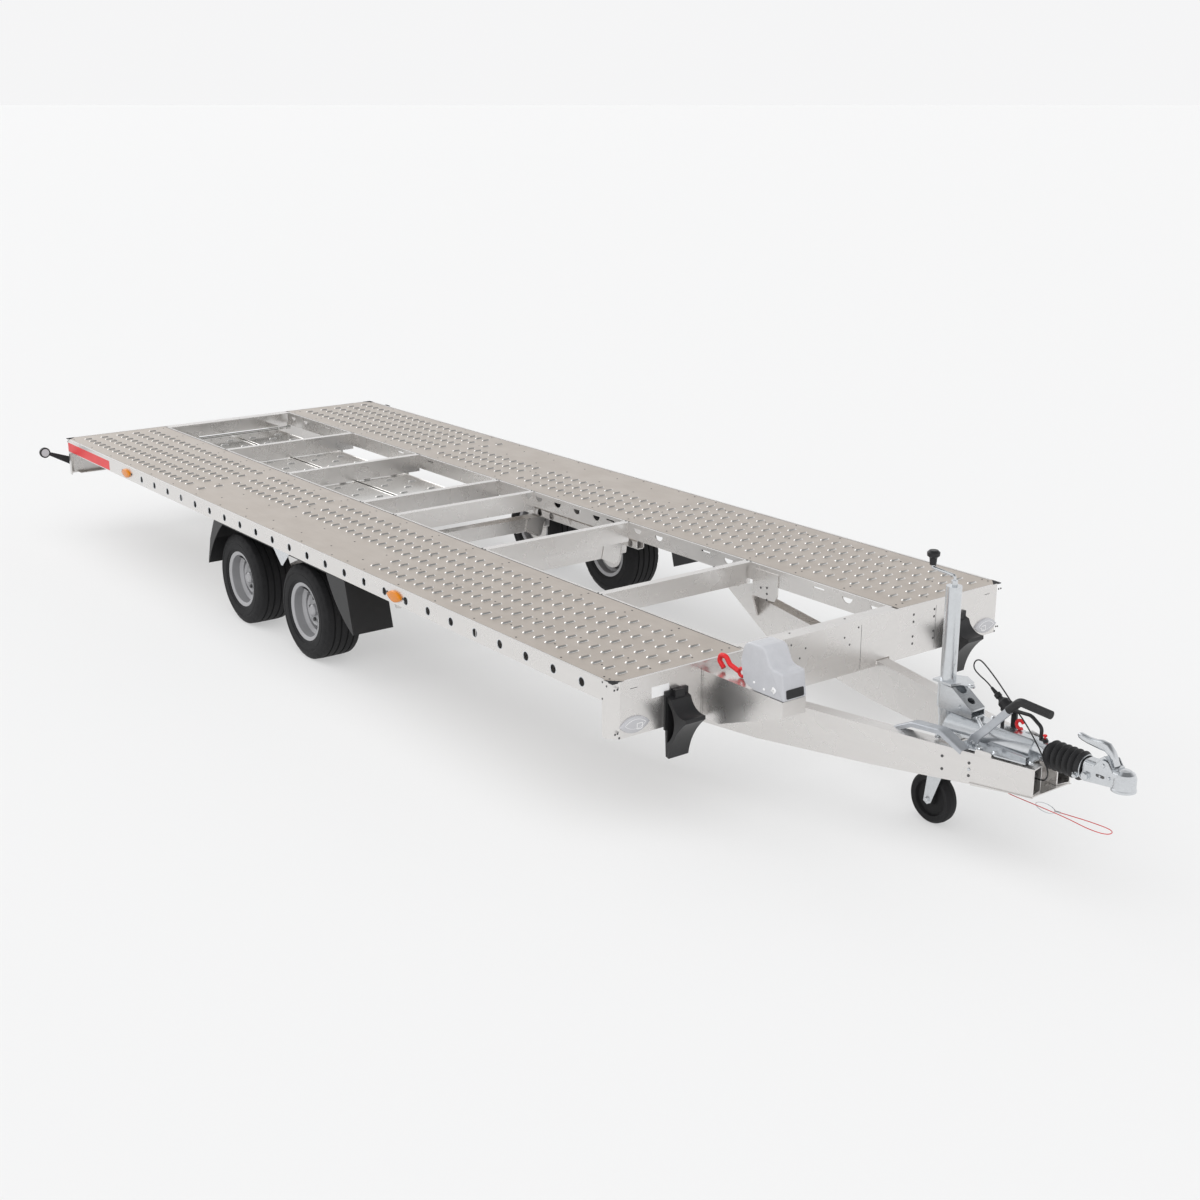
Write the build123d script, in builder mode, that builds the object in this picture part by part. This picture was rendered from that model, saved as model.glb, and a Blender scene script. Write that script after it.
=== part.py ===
from build123d import *
import os
from math import atan, cos, hypot, radians, tan

# Twin-axle car transporter trailer: two running planks on an open steel frame,
# an A-frame drawbar with overrun hitch, a jockey wheel and two stowed ramps.
#
# Frame: +X points forward to the coupling, +Y to the left, +Z up. The origin is
# on the floor under the middle of the trailer. All sizes are in millimetres.

os.makedirs("parts", exist_ok=True)

# ---- driving dimensions ----------------------------------------------------
deck_length = 5440.0
deck_width = 2100.0
deck_height = 600.0           # top of the frame over the floor
sheet = 4.0                   # folded frame sheet
rail_depth = 78.0             # side rails and inner rails
end_depth = 216.0             # front and rear panels
rim_width = 12.0              # visible edge of the frame beside the planks
rim_step = 4.0                # planks lie this far below the frame's top edge
ledge_width = 40.0            # ledge that carries the planks
lip_width = 45.0              # folded lip under each rail
well_half_width = 410.0       # inner rails' faces from the centreline
corner_cut = 34.0             # chamfer on each corner of the deck
corner_leg = 60.0
plank_thickness = 3.5
lashing_hole_radius = 17.0
lashing_hole_drop = 42.0      # hole centres under the deck's top
lashing_hole_pitch = 177.5
lashing_hole_count = 24
first_lashing_hole = 183.0    # back from the front face
moon_width = 62.0
moon_depth = 24.0
moon_drop = 20.0              # flat edge of the half-moon holes under the top
moon_shares = (0.023, 0.054, 0.535, 0.565, 0.596, 0.626, 0.656, 0.687, 0.717, 0.809, 0.947, 0.977)
rail_slot_shares = (0.108, 0.275, 0.335, 0.647, 0.780, 0.916)
rail_slot_length = 66.0
rail_slot_width = 8.0
member_shares = (0.1654, 0.3097, 0.462, 0.5228, 0.6708, 0.8329)   # of the deck's length
member_flange = 40.0
member_depth = 95.0
bearer_depth = 70.0
end_bearer = 445.0            # outermost bearers from the deck's ends

axle_group_share = 0.4806      # middle between the axles, of the deck's length
axle_spacing = 693.0
tyre_radius = 234.0
tyre_width = 195.0
wheel_centre_y = 905.0
rim_flange_radius = 142.5
bead_radius = 127.0
well_radius = 108.0
rim_half_width = 84.0
rim_sheet = 4.0
disc_offset = 26.0            # outer side of the wheel disc from the wheel's centre
bolt_circle_radius = 56.0
bolt_hole_radius = 7.0
drum_radius = 98.0
hub_radius = 30.0
stub_radius = 17.5
bearing_gap = 0.05
axle_tube = 72.0
axle_reach = 670.0            # half length of the axle tube
arm_length = 255.0            # pivot to stub, along the trailer
arm_thickness = 34.0
axle_tube_top = 370.0
axle_rail_size = 48.0
axle_rail_y = 650.0           # inner face
axle_rail_tail = 8.0          # carrier tubes' rear ends behind the rear axle
axle_rail_lead = 469.0        # and their front ends ahead of the front axle
axle_hole_radius = 20.0
mudguard_drop = 14.0          # mudguard's top under the side rail's lip
mudguard_tail = 290.0          # mudguard's ends behind the rear axle
mudguard_nose = 550.0          # and ahead of the front axle
mudguard_hem = 262.0           # lower ends over the floor
mudguard_knee = 400.0
mudguard_inset = 75.0         # mudguard's inner edge inside the wheel's centre

drawbar_reach = 1110.0        # ahead of the deck's front face
drawbar_back = 1240.0         # behind the deck's front face
drawbar_nose_half = 101.0     # outer faces at the front end
drawbar_spread = 0.23         # outward run for each millimetre back
drawbar_flange = 60.0
drawbar_sheet = 5.0
nose_floor = 4.0              # plate under the beams' front ends
drawbar_top = 407.0
bracket_setback = 1815.0      # front end of the deck brackets behind the drawbar's tip
bracket_lap = 163.0           # length of the brackets on the inner rails

nose_lead = 324.0             # coupling nose ahead of the drawbar's tip
draw_height = 438.0           # axis of the draw tube over the floor
draw_tube_radius = 25.0
housing_setback = 40.0        # housing's nose behind the drawbar's tip
housing_length = 390.0
bellows_length = 175.0
bellows_radius = 36.0
bellows_folds = 5
coupling_half_width = 33.0
ball_radius = 25.0

jack_setback = 485.0          # behind the drawbar's tip
jack_tube_radius = 29.0
jack_tube_wall = 3.0
jack_tube_top = 925.0
jack_tube_bottom = 440.0
leg_radius = 25.7
leg_top = 690.0
jack_wheel_radius = 100.0
jack_wheel_width = 52.0
jack_trail = 32.0
crank_throw = 104.0
fork_plate = 5.0
fork_gap = 5.0
crown_height = 222.0

ramp_width = 316.0
ramp_length = 2250.0
ramp_depth = 50.0
ramp_sheet = 4.0
ramp_gap = 14.0
ramp_back = 70.0              # ahead of the deck's rear edge
ramp_top = deck_height - member_depth - 6.0

winch_y = -576.0
winch_width = 112.0
winch_length = 430.0
marker_overhang = 161.0       # rear marker lamps outside the side rails
marker_ring_radius = 31.0
marker_lens_radius = 23.0
marker_height = deck_height - 74
chock_inset = 290.0           # chocks inside the deck's sides
side_marker_shares = (0.1774, 0.7221)   # of the deck's length
tail_depth = 30.0             # tail lamps behind the deck's rear edge

# ---- derived places --------------------------------------------------------
half_width = deck_width / 2
nose_reach = drawbar_reach + nose_lead
overall_length = tail_depth + deck_length + nose_reach
rear = tail_depth - overall_length / 2
front = rear + deck_length
nose = front + nose_reach
rail_bottom = deck_height - rail_depth
end_bottom = deck_height - end_depth
ledge_top = deck_height - rim_step
ledge_bottom = ledge_top - sheet
plank_inner = well_half_width + rim_width + sheet
cross_member_places = [share * deck_length for share in member_shares]
axle_group = rear + axle_group_share * deck_length
axles = {"front": axle_group + axle_spacing / 2, "rear": axle_group - axle_spacing / 2}
drawbar_tip = front + drawbar_reach
housing_front = drawbar_tip - housing_setback
housing_back = housing_front - housing_length
jack_x = drawbar_tip - jack_setback
marker_reach = half_width + marker_overhang

pieces = {}


def folded_section(points, thickness, plane, side=Side.LEFT):
    """Section of a folded sheet, its fold line thickened to one side."""
    with BuildSketch(plane) as section:
        with BuildLine():
            Polyline(*points)
            offset(amount=thickness, side=side)
        make_face()
    return section.sketch


def mirrored(piece):
    """The same piece on the other side of the trailer."""
    with BuildPart() as copy:
        mirror(piece.part, about=Plane.XZ)
    return copy


def on_both_sides(piece):
    """The piece together with its mirror image across the centreline."""
    with piece:
        mirror(about=Plane.XZ)
    return piece


# ---- deck frame ------------------------------------------------------------
def make_side_rail():
    """Left side rail with its plank ledge and row of lashing holes."""
    outline = (
        (half_width - lip_width, rail_bottom),
        (half_width, rail_bottom),
        (half_width, deck_height),
        (half_width - rim_width, deck_height),
        (half_width - rim_width, ledge_top),
        (half_width - ledge_width, ledge_top),
    )
    length = deck_length - 2 * corner_leg
    holes = [
        (front - first_lashing_hole - k * lashing_hole_pitch, deck_height - lashing_hole_drop)
        for k in range(lashing_hole_count)
    ]
    with BuildPart() as rail:
        start = Plane.YZ.offset(rear + corner_leg)
        extrude(folded_section(outline, sheet, start), amount=length, dir=(1, 0, 0))
        with BuildSketch(Plane.XZ.offset(-half_width)):
            with Locations(*holes):
                Circle(lashing_hole_radius)
        extrude(amount=2 * sheet, both=True, mode=Mode.SUBTRACT)
    return rail


def make_inner_rail():
    """Left inner rail: the face of the open well, lightened by half-moon holes."""
    face = well_half_width
    outline = (
        (face + lip_width, rail_bottom),
        (face, rail_bottom),
        (face, deck_height),
        (face + rim_width, deck_height),
        (face + rim_width, ledge_top),
        (face + ledge_width + rim_width, ledge_top),
    )
    edge = deck_height - moon_drop
    with BuildPart() as rail:
        start = Plane.YZ.offset(rear + ledge_width + sheet)
        length = deck_length - 2 * (ledge_width + sheet)
        extrude(folded_section(outline, sheet, start, Side.RIGHT), amount=length, dir=(1, 0, 0))
        with BuildSketch(Plane.XZ.offset(-face)):
            for share in moon_shares:
                middle = rear + share * deck_length
                with BuildLine():
                    Line((middle - moon_width / 2, edge), (middle + moon_width / 2, edge))
                    ThreePointArc(
                        (middle + moon_width / 2, edge),
                        (middle, edge - moon_depth),
                        (middle - moon_width / 2, edge),
                    )
                make_face()
            with Locations(*[(rear + share * deck_length, edge) for share in rail_slot_shares]):
                SlotOverall(rail_slot_length, rail_slot_width)
        extrude(amount=2 * sheet, both=True, mode=Mode.SUBTRACT)
    return rail


def end_outline(face, outward):
    """Fold line of a front or rear panel, from its lip up to the plank ledge."""
    return (
        (face - outward * lip_width, end_bottom),
        (face, end_bottom),
        (face, deck_height),
        (face - outward * rim_width, deck_height),
        (face - outward * rim_width, ledge_top),
        (face - outward * ledge_width, ledge_top),
    )


def make_end_panel(face, outward):
    """Panel across one end of the deck, with the wide flange over the well."""
    side = Side.LEFT if outward > 0 else Side.RIGHT
    half = half_width - corner_leg
    flange = 70.0
    with BuildPart() as panel:
        section = folded_section(end_outline(face, outward), sheet, Plane.XZ, side)
        extrude(section, amount=half, both=True)
        with Locations((face - outward * (flange + rim_width) / 2, 0, deck_height - sheet / 2)):
            Box(flange - rim_width, 2 * well_half_width, sheet)
    return panel


def drawbar_face(x):
    """Distance of the drawbar's outer face from the centreline at x."""
    return drawbar_nose_half + drawbar_spread * (drawbar_tip - x)


def make_front_panel():
    """Front panel, notched over the two drawbar beams."""
    panel = make_end_panel(front, 1)
    notch_outer = drawbar_face(front - lip_width) + 3
    notch_inner = drawbar_face(front) - drawbar_flange / cos(atan(drawbar_spread)) - 3
    with panel:
        for side in (1, -1):
            with Locations((front - lip_width / 2, side * (notch_outer + notch_inner) / 2, end_bottom)):
                height = 2 * (drawbar_top - end_bottom) + 6
                Box(lip_width + 10, notch_outer - notch_inner, height, mode=Mode.SUBTRACT)
    return panel


def make_rear_panel():
    """Rear panel with the slot through which the ramps are pulled out."""
    panel = make_end_panel(rear, -1)
    slot_width = 2 * ramp_width + ramp_gap + 24
    with panel:
        with Locations((rear, 0, ramp_top - ramp_depth / 2)):
            Box(4 * sheet, slot_width, ramp_depth + 16, mode=Mode.SUBTRACT)
    return panel


def make_corner_posts():
    """Four chamfered corner posts, each a folded strip between rail and panel."""
    outline = (
        (front, half_width - corner_leg),
        (front, half_width - corner_cut),
        (front - corner_cut, half_width),
        (front - corner_leg, half_width),
    )
    with BuildPart() as posts:
        base = Plane.XY.offset(end_bottom)
        extrude(folded_section(outline, sheet, base), amount=end_depth)
        mirror(about=Plane.XZ)
        mirror(about=Plane.YZ.offset((front + rear) / 2))
    return posts


def make_corner_caps():
    """Black caps that close the corner posts at the deck's top."""
    inset = sheet + 0.3
    leg = corner_leg - 2
    with BuildPart() as caps:
        with BuildSketch(Plane.XY.offset(deck_height - sheet)):
            with BuildLine():
                Polyline(
                    (front - inset, half_width - leg),
                    (front - inset, half_width - corner_cut - inset / 2),
                    (front - corner_cut - inset / 2, half_width - inset),
                    (front - leg, half_width - inset),
                    close=True,
                )
            make_face()
        extrude(amount=sheet)
        mirror(about=Plane.XZ)
        mirror(about=Plane.YZ.offset((front + rear) / 2))
    return caps


def make_cross_members():
    """Cross-members of the open well, folded with a flange at top and bottom."""
    half = well_half_width
    with BuildPart() as members:
        for place in cross_member_places:
            web = rear + place + member_flange / 2
            outline = (
                (web - member_flange * 0.6, deck_height - member_depth),
                (web, deck_height - member_depth),
                (web, deck_height),
                (web - member_flange, deck_height),
            )
            extrude(folded_section(outline, sheet, Plane.XZ), amount=half, both=True)
    return members


def make_bearers():
    """Bearers under the left plank, in line with the cross-members."""
    inner = well_half_width + sheet
    outer = half_width - sheet
    with BuildPart() as bearers:
        for place in (end_bearer, *cross_member_places, deck_length - end_bearer):
            web = rear + place + member_flange / 2
            top = ledge_bottom
            outline = (
                (web - member_flange * 0.6, top - bearer_depth + sheet),
                (web, top - bearer_depth + sheet),
                (web, top),
                (web - member_flange, top),
            )
            section = folded_section(outline, sheet, Plane.XZ.offset(-inner))
            extrude(section, amount=outer - inner, dir=(0, 1, 0))
    return bearers


def make_plank():
    """Left running plank, a tread sheet lying in the frame's ledges."""
    y0 = plank_inner
    y1 = half_width - rim_width - sheet / 2
    end = rim_width + sheet / 2
    with BuildPart() as plank:
        with Locations(((rear + front) / 2, (y0 + y1) / 2, ledge_top + plank_thickness / 2)):
            Box(deck_length - 2 * end, y1 - y0, plank_thickness)
        corners = plank.edges().filter_by(Axis.Z).group_by(Axis.Y)[-1]
        chamfer(corners, corner_leg - rim_width)
    return plank


pieces["side_rails"] = on_both_sides(make_side_rail())
pieces["inner_rails"] = on_both_sides(make_inner_rail())
pieces["front_panel"] = make_front_panel()
pieces["rear_panel"] = make_rear_panel()
pieces["corner_posts"] = make_corner_posts()
pieces["corner_caps"] = make_corner_caps()
pieces["cross_members"] = make_cross_members()
pieces["deck_bearers"] = on_both_sides(make_bearers())
pieces["deck_plank_left"] = make_plank()
pieces["deck_plank_right"] = mirrored(pieces["deck_plank_left"])

# ---- running gear ----------------------------------------------------------
def wheel_plane(x, y, side):
    """Plane through the wheel's centre: local x runs outward, local y upward."""
    return Plane(origin=(x, y, tyre_radius), x_dir=(0, side, 0), z_dir=(side, 0, 0))


def spin(axis_point):
    """Wheel axis through a point."""
    return Axis(axis_point, (0, 1, 0))


def make_tyre(x, side):
    """Low-profile tyre, its beads against the rim's flanges."""
    y = side * wheel_centre_y
    half = tyre_width / 2
    bead_half = rim_half_width - 2 * rim_sheet
    tread_half = half * 0.8
    shoulder = tyre_radius - 8
    belly = (bead_radius + tyre_radius) / 2
    bead_top = rim_flange_radius + 4
    with BuildPart() as tyre:
        with BuildSketch(wheel_plane(x, y, side)):
            with BuildLine():
                Line((0, bead_radius + 0.3), (bead_half, bead_radius + 0.3))
                Line((bead_half, bead_radius + 0.3), (bead_half, bead_top))
                ThreePointArc((bead_half, bead_top), (half, belly), (half * 0.93, shoulder))
                Line((half * 0.93, shoulder), (tread_half, tyre_radius))
                Line((tread_half, tyre_radius), (0, tyre_radius))
                mirror(about=Plane.YZ)
            make_face()
        revolve(axis=spin((x, y, tyre_radius)))
    return tyre


def make_rim(x, side):
    """Drop-centre rim with a dished disc and five bolt holes."""
    y = side * wheel_centre_y
    w = rim_half_width
    barrel = (
        (-w, rim_flange_radius),
        (-w + rim_sheet, bead_radius),
        (-w * 0.55, bead_radius - 2),
        (-w * 0.42, well_radius),
        (w * 0.3, well_radius),
        (w * 0.45, bead_radius - 2),
        (w - rim_sheet, bead_radius),
        (w, rim_flange_radius),
    )
    disc = (
        (disc_offset - 16, well_radius - 2),
        (disc_offset - 4, well_radius - 14),
        (disc_offset + 8, bolt_circle_radius + 22),
        (disc_offset, bolt_circle_radius + 14),
        (disc_offset, hub_radius - 4),
    )
    plane = wheel_plane(x, y, side)
    with BuildPart() as rim:
        for profile, thickness in ((barrel, rim_sheet), (disc, rim_sheet + 1)):
            section = folded_section(profile, thickness, plane, Side.RIGHT)
            revolve(section, axis=spin((x, y, tyre_radius)))
        face = Plane(origin=(x, y + side * disc_offset, tyre_radius), z_dir=(0, side, 0))
        with BuildSketch(face):
            with PolarLocations(bolt_circle_radius, 5):
                Circle(bolt_hole_radius)
        extrude(amount=4 * rim_sheet, both=True, mode=Mode.SUBTRACT)
        with BuildSketch(plane):
            with BuildLine():
                Polyline(*drum_outline(), close=True)
            make_face()
        revolve(axis=spin((x, y, tyre_radius)))
    return rim


def drum_outline():
    """Half section of the brake drum and hub cap, in the wheel's own plane."""
    back = -50.0
    face = disc_offset - rim_sheet
    bore = stub_radius + bearing_gap
    return (
        (back, bore),
        (back, drum_radius - 6),
        (back + 6, drum_radius),
        (face - 14, drum_radius),
        (face, drum_radius - 16),
        (face, hub_radius),
        (disc_offset + 22, hub_radius - 2),
        (disc_offset + 28, hub_radius - 9),
        (disc_offset + 28, 0),
        (face - 8, 0),
        (face - 8, bore),
    )


def make_axle(x):
    """Rubber-sprung axle: square tube, trailing arms, backplates and stubs."""
    pivot_x = x + arm_length
    pivot_z = axle_tube_top - axle_tube / 2
    arm_inner = axle_reach + 25
    backing = wheel_centre_y - 56
    with BuildPart() as axle:
        with Locations((pivot_x, 0, pivot_z)):
            Box(axle_tube, 2 * axle_reach, axle_tube)
            Box(axle_tube - 10, 2 * axle_reach - 20, axle_tube - 10, mode=Mode.SUBTRACT)
        for side in (1, -1):
            with BuildSketch(Plane.XZ.offset(-side * axle_reach)):
                with Locations((pivot_x, pivot_z)):
                    Circle(axle_tube * 0.36)
            extrude(amount=-side * 30, dir=(0, -1, 0))
            with BuildSketch(Plane.XZ.offset(-side * arm_inner)):
                with BuildLine():
                    Polyline(
                        (pivot_x - 14, pivot_z + 36),
                        (pivot_x + 34, pivot_z + 20),
                        (pivot_x + 26, pivot_z - 34),
                        (x, tyre_radius - 32),
                        (x - 30, tyre_radius),
                        (x, tyre_radius + 32),
                        close=True,
                    )
                make_face()
            extrude(amount=-side * arm_thickness, dir=(0, -1, 0))
            fillet(axle.edges(Select.LAST).filter_by(Axis.Y), 9)
            with BuildSketch(Plane.XZ.offset(-side * (arm_inner + arm_thickness))):
                with Locations((x, tyre_radius)):
                    Circle(hub_radius)
            extrude(amount=-side * (backing - arm_inner - arm_thickness), dir=(0, -1, 0))
            with BuildSketch(Plane.XZ.offset(-side * (backing - 5))):
                with Locations((x, tyre_radius)):
                    Circle(drum_radius - 2)
            extrude(amount=-side * 5, dir=(0, -1, 0))
            with BuildSketch(Plane.XZ.offset(-side * backing)):
                with Locations((x, tyre_radius)):
                    Circle(stub_radius)
            extrude(amount=-side * 60, dir=(0, -1, 0))
            gusset = (
                (side * (axle_reach - 110), pivot_z - axle_tube / 2),
                (side * (axle_reach - 96), axle_tube_top),
                (side * (axle_reach + 24), axle_tube_top),
                (side * (axle_reach - 6), pivot_z - axle_tube / 2 - 34),
                (side * (axle_reach - 30), pivot_z - axle_tube / 2 - 40),
            )
            with BuildSketch(Plane.YZ.offset(pivot_x + axle_tube / 2)):
                with BuildLine():
                    Polyline(*gusset, close=True)
                make_face()
            extrude(amount=5, dir=(1, 0, 0))
    return axle


def make_axle_rail():
    """Left carrier tube over both axles, hung from the bearers by plates."""
    x0 = axles["rear"] - axle_rail_tail
    x1 = axles["front"] + axle_rail_lead
    size = axle_rail_size
    z0 = axle_tube_top
    centre = (z0 + size / 2)
    holes = [x + arm_length + d for x in axles.values() for d in (-140, 48, 160)]
    hang = size / 2 + 5
    with BuildPart() as rail:
        with Locations(((x0 + x1) / 2, axle_rail_y + size / 2, centre)):
            Box(x1 - x0, size, size)
        chamfer(rail.edges().filter_by(Axis.X), 7)
        with Locations(((x0 + x1) / 2, axle_rail_y + size / 2, centre)):
            Box(x1 - x0 + 2, size - 8, size - 8, mode=Mode.SUBTRACT)
        with BuildSketch(Plane.XZ.offset(-axle_rail_y)):
            with Locations(*[(x, centre) for x in holes if x < x1 - 30]):
                Circle(axle_hole_radius)
        extrude(amount=8, both=True, mode=Mode.SUBTRACT)
        for place in cross_member_places:
            x = rear + place + member_flange / 2 - 2 * sheet
            if x0 + hang < x < x1 - hang:
                top = ledge_bottom - bearer_depth + sheet
                with BuildSketch(Plane.YZ.offset(x)):
                    with BuildLine():
                        Polyline(
                            (axle_rail_y - 60, top),
                            (axle_rail_y - 60, top - 20),
                            (axle_rail_y, z0 + 10),
                            (axle_rail_y, z0 + size - 2),
                            (axle_rail_y + size, z0 + size - 2),
                            (axle_rail_y + size + 40, top - 20),
                            (axle_rail_y + size + 40, top),
                            close=True,
                        )
                    make_face()
                extrude(amount=sheet, dir=(-1, 0, 0))
    return rail


def make_mudguard():
    """Left mudguard: one moulded sheet over both wheels, with a flap and lip at each end."""
    tail = axles["rear"] - mudguard_tail
    nose_end = axles["front"] + mudguard_nose
    top = rail_bottom - mudguard_drop
    outline = (
        (tail, mudguard_hem),
        (tail + 40, mudguard_knee),
        (tail + 100, top),
        (nose_end - 62, top),
        (nose_end, mudguard_hem + 6),
    )
    rear_lip = (*outline[:3], (tail + 200, top))
    front_lip = ((nose_end - 230, top), *outline[3:])
    inner = wheel_centre_y - mudguard_inset
    outer = half_width - 14
    post_top = ledge_bottom - bearer_depth + sheet
    with BuildPart() as guard:
        section = folded_section(outline, sheet, Plane.XZ.offset(-inner))
        extrude(section, amount=outer - inner, dir=(0, 1, 0))
        with BuildSketch(Plane.XZ.offset(-outer)):
            with BuildLine():
                Polyline(*rear_lip)
                ThreePointArc(rear_lip[-1], (tail + 85, mudguard_knee), rear_lip[0])
            make_face()
            with BuildLine():
                Polyline(*front_lip)
                ThreePointArc(front_lip[-1], (nose_end - 125, mudguard_knee - 40), front_lip[0])
            make_face()
        extrude(amount=sheet)
        for place in cross_member_places[2:4]:
            with Locations((rear + place, (inner + outer) / 2, (top + sheet + post_top) / 2)):
                Box(60, 60, post_top - top - sheet)
    return guard


for position, axle_x in axles.items():
    for hand, side in (("left", 1), ("right", -1)):
        pieces[f"tyre_{position}_{hand}"] = make_tyre(axle_x, side)
        pieces[f"rim_{position}_{hand}"] = make_rim(axle_x, side)
    pieces[f"axle_{position}"] = make_axle(axle_x)
pieces["axle_rails"] = on_both_sides(make_axle_rail())
pieces["mudguards"] = on_both_sides(make_mudguard())


# ---- drawbar ---------------------------------------------------------------
def drawbar_plane():
    """Outer face of the left beam: local x runs back along it, local y up."""
    run = hypot(1, drawbar_spread)
    backward = (-1 / run, drawbar_spread / run, 0)
    outward = (drawbar_spread / run, 1 / run, 0)
    return Plane(origin=(drawbar_tip, drawbar_nose_half, 0), x_dir=backward, z_dir=outward)


def make_drawbar_beam():
    """Left drawbar beam: a closed box of folded sheet, deepest under the deck's edge."""
    run = hypot(1, drawbar_spread)
    back = drawbar_reach + drawbar_back
    under_edge = drawbar_reach
    profile = (
        (0, drawbar_top),
        (0, drawbar_top - 99),
        (0.2 * under_edge, drawbar_top - 116),
        (0.55 * under_edge, drawbar_top - 148),
        (under_edge, drawbar_top - 176),
        (back - 400, drawbar_top - 166),
        (back, drawbar_top - 24),
        (back, drawbar_top),
    )
    with BuildPart() as beam:
        with BuildSketch(drawbar_plane()):
            with BuildLine():
                Polyline(*[(x * run, z) for x, z in profile], close=True)
            make_face()
        extrude(amount=-drawbar_flange)
        ends = beam.faces().filter_by(lambda f: abs(f.normal_at().X) > 0.9)
        offset(amount=-drawbar_sheet, openings=list(ends), kind=Kind.INTERSECTION)
    return beam


def make_drawbar_hangers():
    """Left hangers between the drawbar beam and the deck: a channel and a folded bracket."""
    bearer_bottom = ledge_bottom - bearer_depth + sheet
    hang_x = rear + cross_member_places[-1] + member_flange / 2
    run = hypot(1, drawbar_spread)
    bracket_front = drawbar_tip - bracket_setback
    fold = bracket_front - bracket_lap
    beam_lap = fold - 70
    bracket_back = beam_lap - 175
    side = (
        (bracket_front, deck_height - 20),
        (bracket_front, deck_height - 116),
        (bracket_front - 22, deck_height - 147),
        (fold, deck_height - 147),
        (beam_lap, drawbar_top - 88),
        (beam_lap - 70, drawbar_top - 86),
        (bracket_back, drawbar_top - 7),
        (bracket_back, drawbar_top + 17),
        (fold - 60, drawbar_top + 66),
        (fold, drawbar_top + 74),
        (fold + 1, deck_height - 20),
    )
    with BuildPart() as hangers:
        path = (
            (bracket_front, well_half_width),
            (fold, well_half_width),
            (beam_lap, drawbar_face(beam_lap) - drawbar_flange * run),
            (bracket_back, drawbar_face(bracket_back) - drawbar_flange * run),
        )
        section = folded_section(path, drawbar_sheet, Plane.XY.offset(drawbar_top - 100))
        extrude(section, amount=300)
        with BuildSketch(Plane.XZ):
            with BuildLine():
                Polyline(*side, close=True)
            make_face()
        extrude(amount=-half_width, mode=Mode.INTERSECT)
        outline = (
            (hang_x - member_flange, drawbar_top),
            (hang_x, drawbar_top),
            (hang_x, bearer_bottom),
            (hang_x - member_flange, bearer_bottom),
        )
        inner = drawbar_face(hang_x) - drawbar_flange * run + 2
        outer = drawbar_face(hang_x) - 4
        section = folded_section(outline, drawbar_sheet, Plane.XZ.offset(-inner))
        extrude(section, amount=outer - inner, dir=(0, 1, 0))
    return hangers


def make_drawbar_tie():
    """Tie plates between the beams: a web across the nose, two straps and a nose floor."""
    run = hypot(1, drawbar_spread)
    x = drawbar_tip - 110
    half = drawbar_face(x) - drawbar_flange * run - 0.3 - drawbar_sheet * drawbar_spread
    floor_back = drawbar_tip - 228
    beam_foot = drawbar_top - 99
    fall = 17 / (0.2 * drawbar_reach)
    with BuildPart() as tie:
        with BuildSketch(Plane.YZ.offset(x)):
            with Locations((0, drawbar_top - 47)):
                Rectangle(2 * half, 80)
            with Locations((0, drawbar_top - 60)):
                Circle(24, mode=Mode.SUBTRACT)
        extrude(amount=drawbar_sheet)
        for place in (60.0, 330.0):
            back = drawbar_tip - place
            strap = drawbar_face(back) - drawbar_flange * 0.4
            with Locations((back - 25, 0, drawbar_top + 2.5)):
                Box(50, 2 * strap, 5)
        foot = Plane(origin=(drawbar_tip, 0, beam_foot), x_dir=(0, 1, 0), z_dir=(fall, 0, -1))
        with BuildSketch(foot):
            with BuildLine():
                Polyline(
                    (-drawbar_face(drawbar_tip), 0),
                    (drawbar_face(drawbar_tip), 0),
                    (drawbar_face(floor_back), floor_back - drawbar_tip),
                    (-drawbar_face(floor_back), floor_back - drawbar_tip),
                    close=True,
                )
            make_face()
        extrude(amount=nose_floor)
    return tie


# ---- overrun hitch ---------------------------------------------------------
housing_seat = drawbar_top + 5
housing_top = draw_height + draw_tube_radius + 8


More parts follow.
